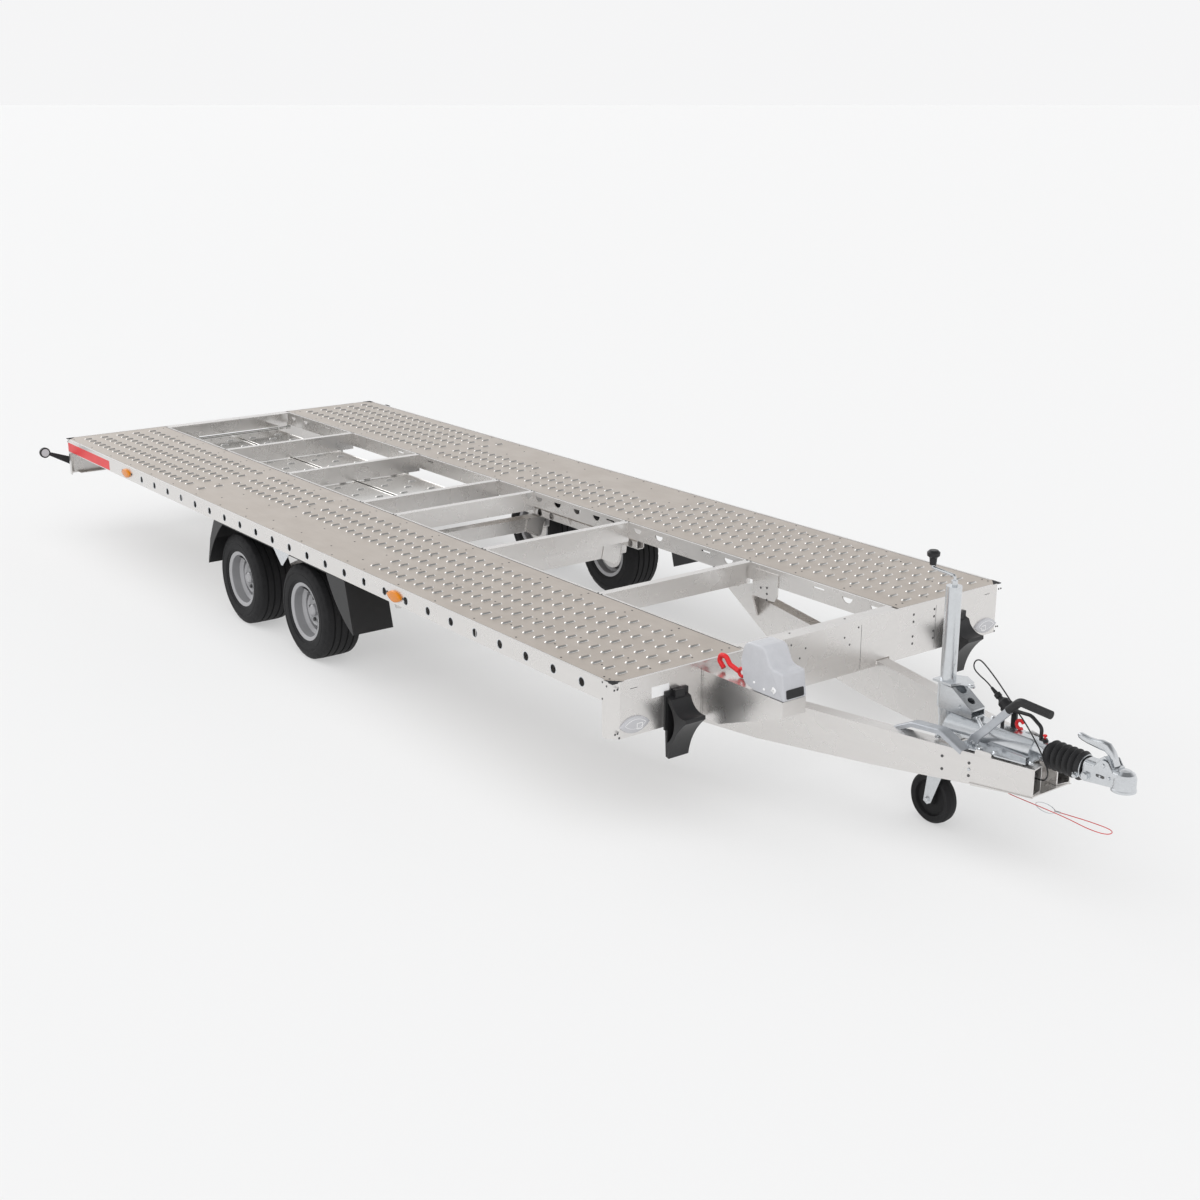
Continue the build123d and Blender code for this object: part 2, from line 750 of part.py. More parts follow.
def make_hitch_housing():
    """Pressed hitch housing: a tapering hood over the draw tube on a flat foot."""
    foot = 5.0
    foot_back = housing_back + 125
    neck = 34.0
    boss_top = housing_top + 5
    with BuildPart() as housing:
        for x, half, flat in ((housing_back, 88.0, 32.0), (housing_front - neck, 47.0, 12.0)):
            shoulder = ((half + flat) / 2 + 7, (housing_seat + housing_top) / 2 + 9)
            with BuildSketch(Plane.YZ.offset(x)):
                with BuildLine():
                    Line((-half, housing_seat), (half, housing_seat))
                    ThreePointArc((half, housing_seat), shoulder, (flat, housing_top))
                    Line((flat, housing_top), (-flat, housing_top))
                    ThreePointArc((-flat, housing_top), (-shoulder[0], shoulder[1]), (-half, housing_seat))
                make_face()
        loft()
        with BuildSketch(Plane.XY.offset(housing_seat)):
            with BuildLine():
                back_half = drawbar_face(foot_back) - 12
                nose_half = drawbar_face(housing_front) - 10
                Polyline(
                    (foot_back, back_half),
                    (housing_front, nose_half),
                    (housing_front, -nose_half),
                    (foot_back, -back_half),
                    close=True,
                )
            make_face()
        extrude(amount=foot)
        with Locations((housing_front - neck / 2, 0, draw_height)):
            Cylinder(draw_tube_radius + 8, neck, rotation=(0, 90, 0))
        with Locations((housing_front - neck / 2, 0, (housing_seat + draw_height) / 2)):
            Box(neck, 2 * draw_tube_radius + 16, draw_height - housing_seat)
        with Locations((housing_front - neck / 2, 0, (boss_top + draw_height) / 2)):
            Box(neck, 28, boss_top - draw_height)
        for side in (1, -1):
            with Locations((housing_front - 96, side * 76, housing_seat + 9)):
                Box(170, 20, 18)
        with Locations((housing_front - neck / 2, 0, housing_seat - 10)):
            Box(neck, 80, 20, mode=Mode.SUBTRACT)
        bore_length = housing_length - 190
        with Locations((housing_front - bore_length / 2, 0, draw_height)):
            bore = draw_tube_radius + 0.4
            Cylinder(bore, bore_length + 4, rotation=(0, 90, 0), mode=Mode.SUBTRACT)
    return housing


def make_draw_tube():
    """Draw tube that slides in the housing and carries the coupling."""
    x0 = housing_back + 200
    x1 = housing_front + bellows_length + 60
    with BuildPart() as tube:
        with Locations(((x0 + x1) / 2, 0, draw_height)):
            Cylinder(draw_tube_radius, x1 - x0, rotation=(0, 90, 0))
            Cylinder(draw_tube_radius - 5, x1 - x0, rotation=(0, 90, 0), mode=Mode.SUBTRACT)
    return tube


def make_bellows():
    """Rubber bellows over the draw tube, tapering a little towards the coupling."""
    x0 = housing_front + 0.3
    pitch = bellows_length / bellows_folds
    bore = draw_tube_radius + 0.3
    with BuildPart() as bellows:
        with BuildSketch(Plane.XZ):
            with BuildLine():
                points = [(x0, draw_height + bore), (x0, draw_height + bellows_radius)]
                for k in range(bellows_folds):
                    crest = bellows_radius + 16 - 1.6 * k
                    points.append((x0 + (k + 0.35) * pitch, draw_height + crest))
                    points.append((x0 + (k + 0.65) * pitch, draw_height + crest))
                    points.append((x0 + (k + 1) * pitch, draw_height + bellows_radius - k))
                points.append((x0 + bellows_length, draw_height + bore))
                Polyline(*points, close=True)
            make_face()
        revolve(axis=Axis((x0, 0, draw_height), (1, 0, 0)))
    return bellows


def make_coupling_head():
    """Pressed coupling head: a sleeve on the draw tube and a cup over the ball."""
    x0 = housing_front + bellows_length + 6
    ball_x = nose - 42
    half = coupling_half_width
    cup = (
        (0, draw_height + 40),
        (20, draw_height + 38),
        (34, draw_height + 28),
        (40, draw_height + 12),
        (40, draw_height - 22),
        (42, draw_height - 26),
        (42, draw_height - 33),
        (0, draw_height - 33),
    )
    cheek = (
        (ball_x - 100, draw_height + 13),
        (ball_x - 95, draw_height + 51),
        (ball_x - 68, draw_height + 72),
        (ball_x - 52, draw_height + 60),
        (ball_x - 27, draw_height + 30),
        (ball_x - 40, draw_height + 10),
    )
    with BuildPart() as head:
        with BuildSketch(Plane.YZ.offset(x0)):
            with Locations((0, draw_height)):
                RectangleRounded(2 * half, 74, 20)
        with BuildSketch(Plane.YZ.offset(x0 + 50)):
            with Locations((0, draw_height)):
                RectangleRounded(2 * half, 74, 20)
        with BuildSketch(Plane.YZ.offset(ball_x - 4)):
            with Locations((0, draw_height + 6)):
                RectangleRounded(2 * half + 8, 62, 20)
        loft(ruled=True)
        with BuildSketch(Plane(origin=(ball_x, 0, 0), x_dir=(1, 0, 0), z_dir=(0, -1, 0))):
            with BuildLine():
                Polyline(*cup, close=True)
            make_face()
        revolve(axis=Axis((ball_x, 0, 0), (0, 0, 1)))
        with Locations((ball_x - 44, 0, draw_height + 30)):
            Box(56, 40, 22.4)
        for side in (1, -1):
            with BuildSketch(Plane.XZ.offset(-side * 20)):
                with BuildLine():
                    Polyline(*cheek, close=True)
                make_face()
            extrude(amount=-side * 5, dir=(0, -1, 0))
        with Locations((ball_x, 0, draw_height - 2)):
            Sphere(ball_radius, mode=Mode.SUBTRACT)
        with Locations((ball_x, 0, draw_height - 22)):
            Cylinder(ball_radius, 40, mode=Mode.SUBTRACT)
        with Locations((x0 + 30, 0, draw_height)):
            Cylinder(draw_tube_radius + 0.3, 60, rotation=(0, 90, 0), mode=Mode.SUBTRACT)
    return head


def make_coupling_handle():
    """Thick lever that opens the coupling, swept back over the head."""
    x = nose - 86
    seat = draw_height + 41.5
    z = seat + 13
    with BuildPart() as handle:
        with BuildLine():
            route = FilletPolyline((x, 0, z), (x - 36, 0, z + 40), (x - 142, 0, z + 53), radius=22)
        with BuildSketch(Plane(origin=route @ 0, z_dir=route % 0)):
            RectangleRounded(24, 26, 7)
        sweep()
        with Locations(route @ 1):
            Cylinder(12, 26, rotation=(90, 0, 0))
        with Locations((x + 6, 0, seat + 10)):
            Box(34, 22, 20)
    return handle


lever_y = -104.0
lever_pivot = (drawbar_tip - 290, drawbar_top + 25.3)
lever_elbow = (lever_pivot[0] + 60, lever_pivot[1] + 52)
lever_end = (lever_pivot[0] + 165, draw_height + 148)


def make_brake_lever():
    """Flat handbrake lever pivoted beside the housing."""
    with BuildPart() as lever:
        with BuildSketch(Plane.XZ.offset(-lever_y)):
            with BuildLine():
                Polyline(lever_pivot, lever_elbow, lever_end)
            trace(line_width=30)
            with Locations(lever_pivot, lever_elbow):
                Circle(15)
        extrude(amount=4, both=True)
    return lever


def make_brake_grip():
    """Bent black grip that continues the handbrake lever."""
    run = Vector(lever_end[0] - lever_elbow[0], 0, lever_end[1] - lever_elbow[1]).normalized()
    end = Vector(lever_end[0], lever_y, lever_end[1])
    bend = end + run * 64
    with BuildPart() as grip:
        with BuildLine():
            route = FilletPolyline(end + run * 0.3, bend, bend + Vector(130, 0, -8), radius=30)
        with BuildSketch(Plane(origin=route @ 0, z_dir=route % 0)):
            Circle(15)
        sweep()
    return grip


def make_brake_quadrant():
    """Arched channel on the right beam that carries the handbrake linkage."""
    seat = drawbar_top
    end = drawbar_tip - 312
    outline = (
        (end - 278, seat),
        (end - 186, seat + 42),
        (end - 68, seat + 56),
        (end, seat + 10),
        (end, seat),
    )
    with BuildPart() as quadrant:
        section = folded_section(outline, sheet, Plane.XZ.offset(136), Side.LEFT)
        extrude(section, amount=50, dir=(0, -1, 0))
    return quadrant


def make_brake_strut():
    """Gas strut between the jack bracket and the handbrake lever."""
    start = Vector(jack_x + 179, -38.2, housing_top + 13)
    end = Vector(lever_pivot[0] + 54, lever_y + 12.2, housing_top + 8)
    with BuildPart() as strut:
        with Locations(start, end):
            Sphere(8)
        with BuildSketch(Plane(origin=start, z_dir=end - start)):
            Circle(6)
        extrude(amount=(end - start).length)
    return strut


def make_release_hook():
    """Red open ring on the housing's ridge that takes the breakaway cable's clip."""
    x = housing_front - 126
    radius = 15.0
    rod = 5.0
    z = housing_top + radius + rod + 0.1
    with BuildPart() as hook:
        with BuildLine(Plane.XZ.offset(-18)):
            ring = CenterArc((x, z), radius, -90, 250)
        with BuildSketch(Plane(origin=ring @ 0, z_dir=ring % 0)):
            Circle(rod)
        sweep(path=ring)
    return hook


def make_cable_bow():
    """Black hoop over the hitch that keeps the plug's cable off the draw tube."""
    start = housing_back + 202
    end = housing_front - 20
    crown = housing_top + 77
    with BuildPart() as bow:
        with BuildLine():
            route = FilletPolyline(
                (start, 0, housing_top + 0.1),
                (start, 0, crown - 34),
                (start + 42, 0, crown - 4),
                (end - 48, 0, crown),
                (end, 0, crown - 30),
                (end, 0, housing_top + 5.1),
                radius=[22, 34, 40, 24],
            )
        with BuildSketch(Plane(origin=route @ 0, z_dir=route % 0)):
            Circle(6.5)
        sweep()
    return bow


# ---- plug, cables and their holders ----------------------------------------
plug_tail = Vector(housing_back + 103.5, 50, draw_height + 137.5)
plug_run = Vector(0.83, 0, -0.5578)
plug_length = 98.0
plug_radius = 21.0
cable_diameter = 5.0
wire_diameter = 3.0


def axis_plane(start, run):
    """Plane through a line along the trailer: local x runs along it, local y across."""
    return Plane(origin=start, x_dir=run, z_dir=(0, -1, 0))


def make_plug():
    """Trailer plug, parked with its tail up: boot, collar and body."""
    with BuildPart() as plug:
        with BuildSketch(axis_plane(plug_tail, plug_run)):
            with BuildLine():
                Polyline(
                    (0, 0),
                    (0, 5),
                    (26, 7.5),
                    (30, 12.5),
                    (44, 12.5),
                    (47, 9),
                    (54, 11),
                    (66, plug_radius),
                    (plug_length, plug_radius),
                    (plug_length, 0),
                    close=True,
                )
            make_face()
        revolve(axis=Axis(plug_tail, plug_run))
    return plug


def make_cable_holders():
    """Cup on a post for the parked plug, and the clip that takes the cable into the beam."""
    cup_start = plug_tail + plug_run * (plug_length - 14)
    post_x = cup_start.X + 20
    post_top = cup_start.Z - 4
    clip_x = drawbar_tip - 29
    clip_outer = drawbar_face(clip_x) - drawbar_sheet * 1.4
    clip_inner = 58.0
    with BuildPart() as holders:
        with BuildSketch(Plane(origin=cup_start, z_dir=plug_run)):
            Circle(plug_radius + 5)
        extrude(amount=28)
        with Locations((post_x, 75, (housing_seat + 5 + post_top) / 2)):
            Box(22, 9, post_top - housing_seat - 5)
        with BuildSketch(Plane(origin=cup_start, z_dir=plug_run)):
            Circle(plug_radius + 0.3)
        extrude(amount=14.2, mode=Mode.SUBTRACT)
        with Locations((clip_x, -(clip_outer + clip_inner) / 2, drawbar_top - 43)):
            Box(14, clip_outer - clip_inner, 24)
    return holders


def turn_radii(points):
    """Arc for each corner of a cord's route, as large as its two runs allow."""
    radii = []
    for before, corner, after in zip(points, points[1:], points[2:]):
        run_in = Vector(*corner) - Vector(*before)
        run_out = Vector(*after) - Vector(*corner)
        turn = radians(run_in.get_angle(run_out))
        radii.append(0.45 * min(run_in.length, run_out.length) / tan(turn / 2))
    return radii


def make_cord(name, points, diameter):
    """Round cord along straight runs joined by tangent arcs."""
    radii = turn_radii(points)
    with BuildPart() as cord:
        with BuildLine():
            route = FilletPolyline(*points, radius=radii)
        with BuildSketch(Plane(origin=route @ 0, z_dir=route % 0)):
            Circle(diameter / 2)
        sweep()
    share = cord.part.volume / (route.length * 3.14159 * diameter**2 / 4)
    print(name, "length", round(route.length), "volume share", round(share, 4))
    print("  radii", [round(radius) for radius in radii])
    return cord


def plug_cable_route():
    """From the plug's tail up over an arch, along the hitch and back into the right beam."""
    x, y, z = plug_tail.X, plug_tail.Y, plug_tail.Z
    tip = drawbar_tip
    return [
        (x, y, z),
        (x - 23.2, y, z + 15.6),
        (x - 52.5, y, z + 27),
        (x - 80.5, y, z + 42.5),
        (x - 87.6, y, z + 57.6),
        (x - 84.2, y, z + 74),
        (x - 71.8, y, z + 85.2),
        (x - 55.2, y, z + 86.8),
        (x - 27.8, y, z + 70.3),
        (x + 21.5, y - 2, z + 36),
        (x + 91.5, y - 16, z - 9.5),
        (x + 144.5, y - 36, z - 34.5),
        (x + 204.5, y - 59, z - 59.5),
        (tip - 65, -35, z - 86.5),
        (tip - 13, -58, z - 117.5),
        (tip + 24, -68, z - 155.5),
        (tip + 33, -69, z - 184.5),
        (tip + 21, -68, z - 207.5),
        (tip - 1, -67, z - 213),
        (tip - 22, -67, z - 213),
    ]


def breakaway_cable_route():
    """From the rear strap down behind the right beam, forward under the hitch and back."""
    tip = drawbar_tip
    z = draw_height - 198
    return [
        (tip - 333, -8, drawbar_top),
        (tip - 333, -8, z + 132),
        (tip - 325, -9, z + 97),
        (tip - 308, -10, z + 62),
        (tip - 280, -11, z + 32),
        (tip - 242, -12, z + 12),
        (tip - 198, -14, z + 3),
        (tip - 153, -16, z),
        (tip - 101, -15, z - 1),
        (tip - 48, -17, z),
        (tip + 4, -16, z - 1),
        (tip + 56, -19, z),
        (tip + 112, -25, z + 1),
        (tip + 162, -31, z),
        (tip + 200, -32, z),
        (tip + 232, -28, z),
        (tip + 248, -19, z),
        (tip + 254.5, -7, z),
        (tip + 252, 7, z),
        (tip + 242, 16.5, z + 1),
        (tip + 220, 19, z + 2),
        (tip + 180, 15, z + 3),
        (tip + 134, 9, z + 3),
        (tip + 88, 2, z + 2),
        (tip + 48, -4, z + 1),
    ]


def make_breakaway_clip():
    """Crimp sleeve and long spring ring at the breakaway cable's free end."""
    before, end = [Vector(*point) for point in breakaway_cable_route()[-2:]]
    run = (end - before).normalized()
    ring_half = 43.0
    rod = 2.5
    ring_end = end + run * 20
    with BuildPart() as clip:
        with BuildSketch(Plane(origin=end, z_dir=run)):
            Circle(3.2)
        extrude(amount=22)
        with BuildSketch(Plane.XZ.offset(-ring_end.Y - rod / 2)):
            with Locations((ring_end.X - ring_half + rod, ring_end.Z - 2)):
                Ellipse(ring_half, 17)
                Ellipse(ring_half - rod, 17 - rod, mode=Mode.SUBTRACT)
        extrude(amount=rod)
    return clip


# ---- jockey wheel ----------------------------------------------------------
def make_jack_tube():
    """Outer tube of the jack with its cap and crank arm."""
    height = jack_tube_top - jack_tube_bottom
    with BuildPart() as tube:
        with Locations((jack_x, 0, (jack_tube_top + jack_tube_bottom) / 2)):
            Cylinder(jack_tube_radius, height)
        with Locations((jack_x, 0, (jack_tube_top + jack_tube_bottom) / 2 - 6)):
            Cylinder(jack_tube_radius - jack_tube_wall, height, mode=Mode.SUBTRACT)
        with Locations((jack_x, 0, jack_tube_top + 10)):
            Cylinder(12, 20)
        z = jack_tube_top + 18
        with BuildLine():
            route = FilletPolyline((jack_x, 0, z), (jack_x, 0, z + 18), (jack_x - crank_throw, 0, z + 26),
                                   (jack_x - crank_throw, 0, z + 62), radius=7)
        with BuildSketch(Plane(origin=route @ 0, z_dir=route % 0)):
            Circle(6)
        sweep()
    return tube


def make_crank_knob():
    """Black mushroom knob on the crank."""
    base = jack_tube_top + 54
    with BuildPart() as knob:
        with BuildSketch(Plane.XZ):
            with BuildLine():
                Polyline(
                    (jack_x - crank_throw + 6.1, base),
                    (jack_x - crank_throw + 12, base),
                    (jack_x - crank_throw + 14, base + 26),
                    (jack_x - crank_throw + 23, base + 34),
                    (jack_x - crank_throw + 24, base + 46),
                    (jack_x - crank_throw + 16, base + 54),
                    (jack_x - crank_throw, base + 54),
                    (jack_x - crank_throw, base + 26.2),
                    (jack_x - crank_throw + 6.1, base + 26.2),
                    close=True,
                )
            make_face()
        revolve(axis=Axis((jack_x - crank_throw, 0, base), (0, 0, 1)))
    return knob


def make_jack_bracket():
    """Clamp round the jack: collar, open-ended saddle on the housing and a clamp plate."""
    seat = housing_top
    collar_top = 565.0
    half = 37.0
    bore = jack_tube_radius + 0.3
    wall = jack_x + jack_tube_radius + 8
    brow = (jack_x + 52, collar_top - 3)
    toe = (jack_x + 145, seat + 30)
    reach = jack_x + 147
    slope_length = hypot(toe[0] - brow[0], brow[1] - toe[1])
    clamp = (
        (jack_x - 40, -37),
        (jack_x + 47, -37),
        (jack_x + 56, 4),
        (jack_x + 90, 27),
        (jack_x + 82, 47),
        (jack_x + 24, 79),
        (jack_x + 1, 66),
        (jack_x - 40, 49),
    )
    with BuildPart() as bracket:
        with Locations((jack_x, 0, (seat + collar_top) / 2)):
            Cylinder(jack_tube_radius + 6, collar_top - seat)
        with BuildSketch(Plane.XZ):
            with BuildLine():
                Polyline((jack_x, seat), (jack_x, collar_top - 2), brow, toe, (reach, seat), close=True)
            make_face()
        extrude(amount=half, both=True)
        with BuildSketch(Plane.XZ):
            with BuildLine():
                Polyline(
                    (wall, seat - 1),
                    (wall, collar_top - 8),
                    (brow[0] - 2, brow[1] - 6),
                    (reach + 6, seat + 19),
                    (reach + 6, seat - 1),
                    close=True,
                )
            make_face()
        extrude(amount=half - 4, both=True, mode=Mode.SUBTRACT)
        slope = Plane(
            origin=((brow[0] + toe[0]) / 2, 0, (brow[1] + toe[1]) / 2),
            x_dir=(0, 1, 0),
            z_dir=(brow[1] - toe[1], 0, toe[0] - brow[0]),
        )
        with BuildSketch(slope):
            with Locations((0, slope_length / 2)):
                RectangleRounded(40, 70, 18)
            with Locations((0, -0.15 * slope_length)):
                Circle(15)
        extrude(amount=14, both=True, mode=Mode.SUBTRACT)
        with BuildSketch(Plane.XY.offset(seat)):
            with Locations(((wall + reach) / 2, 0)):
                Rectangle(reach - wall, 2 * half)
        extrude(amount=5)
        with BuildSketch(Plane.XY.offset(collar_top)):
            with BuildLine():
                Polyline(*clamp, close=True)
            make_face()
        extrude(amount=8)
        with Locations((jack_x, 0, (seat + collar_top) / 2)):
            Cylinder(bore, 2 * collar_top, mode=Mode.SUBTRACT)
    return bracket


def make_jack_leg():
    """Inner leg of the jack that the spindle raises and lowers."""
    with BuildPart() as leg:
        with Locations((jack_x, 0, (leg_top + crown_height) / 2)):
            Cylinder(leg_radius, leg_top - crown_height)
    return leg


def make_jack_fork():
    """Swivelling fork with trailing plates on both sides of the wheel."""
    axle_x = jack_x - jack_trail
    half = jack_wheel_width / 2 + fork_gap
    top = crown_height - 0.3
    with BuildPart() as fork:
        with BuildSketch(Plane.XZ):
            with BuildLine():
                Polyline(
                    (jack_x - 34, top),
                    (jack_x + 30, top),
                    (jack_x + 30, top - 16),
                    (axle_x + 18, jack_wheel_radius - 10),
                    (axle_x, jack_wheel_radius - 20),
                    (axle_x - 18, jack_wheel_radius - 10),
                    close=True,
                )
            make_face()
        extrude(amount=half + fork_plate, both=True)
        with Locations((jack_x, 0, jack_wheel_radius)):
            Box(300, 2 * half, 2 * (top - jack_wheel_radius - fork_plate), mode=Mode.SUBTRACT)
        with Locations((axle_x, 0, jack_wheel_radius)):
            Cylinder(8, 2 * half + 2, rotation=(90, 0, 0))
    return fork


def make_jack_wheel():
    """Solid jockey wheel with a recessed web."""
    axle_x = jack_x - jack_trail
    half = jack_wheel_width / 2
    with BuildPart() as wheel:
        with BuildSketch(Plane.XY.offset(jack_wheel_radius)):
            with BuildLine():
                Polyline(
                    (axle_x + 8.05, -half),
                    (axle_x + 24, -half),
                    (axle_x + 28, -10),
                    (axle_x + 66, -10),
                    (axle_x + 70, -half + 4),
                    (axle_x + jack_wheel_radius - 12, -half),
                    (axle_x + jack_wheel_radius - 2, -half * 0.6),
                    (axle_x + jack_wheel_radius, 0),
                )
                mirror(about=Plane.XZ)
                Line((axle_x + 8.05, -half), (axle_x + 8.05, half))
            make_face()
        revolve(axis=Axis((axle_x, 0, jack_wheel_radius), (0, 1, 0)))
    return wheel


# ---- ramps -----------------------------------------------------------------
def make_ramp(side):
    """Loading ramp stowed under the well: a tread tray with folded sides."""
    y = side * (ramp_width + ramp_gap) / 2
    w = ramp_width / 2
    outline = (
        (y - w, ramp_top - ramp_depth),
        (y - w, ramp_top),
        (y + w, ramp_top),
        (y + w, ramp_top - ramp_depth),
    )
    with BuildPart() as ramp:
        start = Plane.YZ.offset(rear + ramp_back)
        section = folded_section(outline, ramp_sheet, start, Side.RIGHT)
        extrude(section, amount=ramp_length, dir=(1, 0, 0))
        for k in range(5):
            x = rear + ramp_back + 120 + k * (ramp_length - 240) / 4
            with Locations((x, y, ramp_top - ramp_sheet - 15)):
                Box(20, 2 * w - 2 * ramp_sheet, 30)
        hook_x = rear + ramp_back + ramp_length
        with Locations((hook_x + 4, y, ramp_top - ramp_depth / 2)):
            Box(8, 2 * w, ramp_depth)
    return ramp


def make_ramp_guides():
    """U-shaped hangers under the cross-members, on which the stowed ramps lie."""
    floor = ramp_top - ramp_depth - 0.5
    half = ramp_width + ramp_gap / 2 + 10
    seat = deck_height - member_depth
    with BuildPart() as guides:
        for place in cross_member_places[:2]:
            outline = ((-half, seat), (-half, floor), (half, floor), (half, seat))
            start = Plane.YZ.offset(rear + place + member_flange / 2)
            extrude(folded_section(outline, sheet, start, Side.RIGHT), amount=24, dir=(-1, 0, 0))
    return guides


def make_ramp_lock():
    """Lock rod across the ramps' rear ends, held by two lugs, with a pull pin on one end."""
    x = rear + 168
    z = deck_height - member_depth + 24
    reach = ramp_width + 19
    with BuildPart() as lock:
        with Locations((x, 0, z)):
            Cylinder(8, 2 * reach, rotation=(90, 0, 0))
        for y in (reach - 60, 60 - reach):
            with Locations(((rear + sheet + x + 14) / 2, y, z)):
                Box(x + 14 - rear - sheet, 6, 36)
        with Locations((x, reach + 14, z)):
            Cylinder(12, 28, rotation=(90, 0, 0))
        with Locations((x, reach + 14, z + 22)):
            Cylinder(6, 24)
    return lock


pieces["drawbar_beams"] = on_both_sides(make_drawbar_beam())
pieces["drawbar_hangers"] = on_both_sides(make_drawbar_hangers())
pieces["drawbar_tie"] = make_drawbar_tie()
pieces["hitch_housing"] = make_hitch_housing()
pieces["draw_tube"] = make_draw_tube()
pieces["bellows"] = make_bellows()
pieces["coupling_head"] = make_coupling_head()
pieces["coupling_handle"] = make_coupling_handle()
pieces["brake_lever"] = make_brake_lever()
pieces["brake_grip"] = make_brake_grip()
pieces["brake_quadrant"] = make_brake_quadrant()
pieces["brake_strut"] = make_brake_strut()
pieces["release_hook"] = make_release_hook()
pieces["cable_bow"] = make_cable_bow()
pieces["plug"] = make_plug()
pieces["cable_holders"] = make_cable_holders()
pieces["plug_cable"] = make_cord("plug_cable", plug_cable_route(), cable_diameter)
pieces["breakaway_cable"] = make_cord("breakaway_cable", breakaway_cable_route(), wire_diameter)
pieces["breakaway_clip"] = make_breakaway_clip()
pieces["jack_tube"] = make_jack_tube()
pieces["crank_knob"] = make_crank_knob()
pieces["jack_bracket"] = make_jack_bracket()
pieces["jack_leg"] = make_jack_leg()
pieces["jack_fork"] = make_jack_fork()
pieces["jack_wheel"] = make_jack_wheel()
pieces["ramp_left"] = make_ramp(1)
pieces["ramp_right"] = make_ramp(-1)
pieces["ramp_guides"] = make_ramp_guides()
pieces["ramp_lock"] = make_ramp_lock()


# ---- winch, chocks and lamps -----------------------------------------------
def make_winch_bracket():
    """Folded box bracket that carries the winch ahead of the front panel."""
    top = deck_height - 34
    outline = (
        (front, end_bottom),
        (front + 100, end_bottom),
        (front + winch_length, top - 60),
        (front + winch_length, top),
        (front, top),
    )
    with BuildPart() as bracket:
        with BuildSketch(Plane.XZ.offset(-winch_y)):
            with BuildLine():
                Polyline(*outline, close=True)
            make_face()
        extrude(amount=winch_width / 2, both=True)
        under = bracket.faces().filter_by(lambda f: f.normal_at().Z < -0.5)
        offset(amount=-sheet, openings=list(under), kind=Kind.INTERSECTION)
    return bracket


def make_winch_housing():
    """Moulded winch cover: a low box in front, rising to a dome over the drum."""
    top = deck_height - 34
    nose_x = front + winch_length - 4
    with BuildPart() as housing:
        with BuildSketch(Plane.XZ.offset(-winch_y)):
            with BuildLine():
                FilletPolyline(
                    (nose_x, top),
                    (nose_x, top + 86),
                    (nose_x - 62, top + 108),
                    (nose_x - 90, top + 172),
                    (nose_x - 200, top + 178),
                    (nose_x - 222, top),
                    close=True,
                    radius=[1, 6, 22, 40, 60, 1],
                )
            make_face()
        extrude(amount=winch_width / 2, both=True)
        sides = housing.faces().sort_by(Axis.Y)
        fillet(sides[0].edges().filter_by(lambda e: e.center().Z > top + 2), 5)
        fillet(housing.faces().sort_by(Axis.Y)[-1].edges().filter_by(lambda e: e.center().Z > top + 2), 5)
        with Locations((nose_x, winch_y, top + 40)):
            Box(4, 84, 34, mode=Mode.SUBTRACT)
    return housing


def make_winch_hook():
    """Red tow hook with its eye, lying on the winch bracket."""
    top = deck_height - 34
    x = front + 40
    with BuildPart() as hook:
        with BuildLine():
            route = FilletPolyline(
                (x + 106, winch_y, top + 22),
                (x + 10, winch_y, top + 66),
                (x - 16, winch_y, top + 34),
                (x + 26, winch_y, top + 8),
                radius=[26, 16],
            )
        with BuildSketch(Plane(origin=route @ 0, z_dir=route % 0)):
            Circle(7.5)
        sweep()
        with Locations((x + 120, winch_y, top + 22.2)):
            Torus(16, 6, rotation=(90, 0, 0))
    return hook


def make_chock():
    """Left wheel chock in its holder on the front panel, with hollowed faces and sides."""
    y = half_width - chock_inset
    crest = deck_height - 158
    heel = end_bottom - 120
    with BuildPart() as chock:
        with BuildSketch(Plane.XZ.offset(-y)):
            with BuildLine():
                Line((front, deck_height - 93), (front + 34, deck_height - 105))
                ThreePointArc((front + 34, deck_height - 105), (front + 66, crest + 10), (front + 116, crest))
                Line((front + 116, crest), (front + 117, crest - 15))
                ThreePointArc((front + 117, crest - 15), (front + 52, crest - 94), (front + 24, heel))
                Line((front + 24, heel), (front + 6, heel + 4))
                Line((front + 6, heel + 4), (front, end_bottom + 10))
                Line((front, end_bottom + 10), (front, deck_height - 93))
            make_face()
        extrude(amount=47, both=True)
        for side in (1, -1):
            with BuildSketch(Plane.XZ.offset(-y - side * 47)):
                with BuildLine():
                    Line((front + 14, deck_height - 118), (front + 14, heel + 60))
                    ThreePointArc((front + 14, heel + 60), (front + 52, crest - 30), (front + 14, deck_height - 118))
                make_face()
            extrude(amount=side * 34, mode=Mode.SUBTRACT)
        with Locations((front + 5, y, deck_height - 152)):
            Box(10, 108, 150)
        with Locations((front + 14, y, deck_height - 90)):
            Box(28, 44, 34)
    return chock


def make_front_lamps():
    """Pale oval position lamps on the front panel."""
    y = half_width - 100
    z = deck_height - 172
    with BuildPart() as lamps:
        with BuildSketch(Plane.YZ.offset(front)):
            with BuildLine():
                ThreePointArc((y - 68, z), (y, z + 34), (y + 68, z))
                ThreePointArc((y + 68, z), (y, z - 34), (y - 68, z))
            make_face()
        extrude(amount=18, taper=25)
        mirror(about=Plane.XZ)
    return lamps


def make_side_markers():
    """Amber oval markers on both side rails."""
    with BuildPart() as markers:
        with BuildSketch(Plane(origin=(0, half_width, 0), x_dir=(-1, 0, 0), z_dir=(0, 1, 0))):
            z = deck_height - lashing_hole_drop
            with Locations(*[(-rear - share * deck_length, z) for share in side_marker_shares]):
                Ellipse(48, 24)
        extrude(amount=14)
        fillet(markers.faces().sort_by(Axis.Y)[-1].edges(), 6)
        mirror(about=Plane.XZ)
    return markers


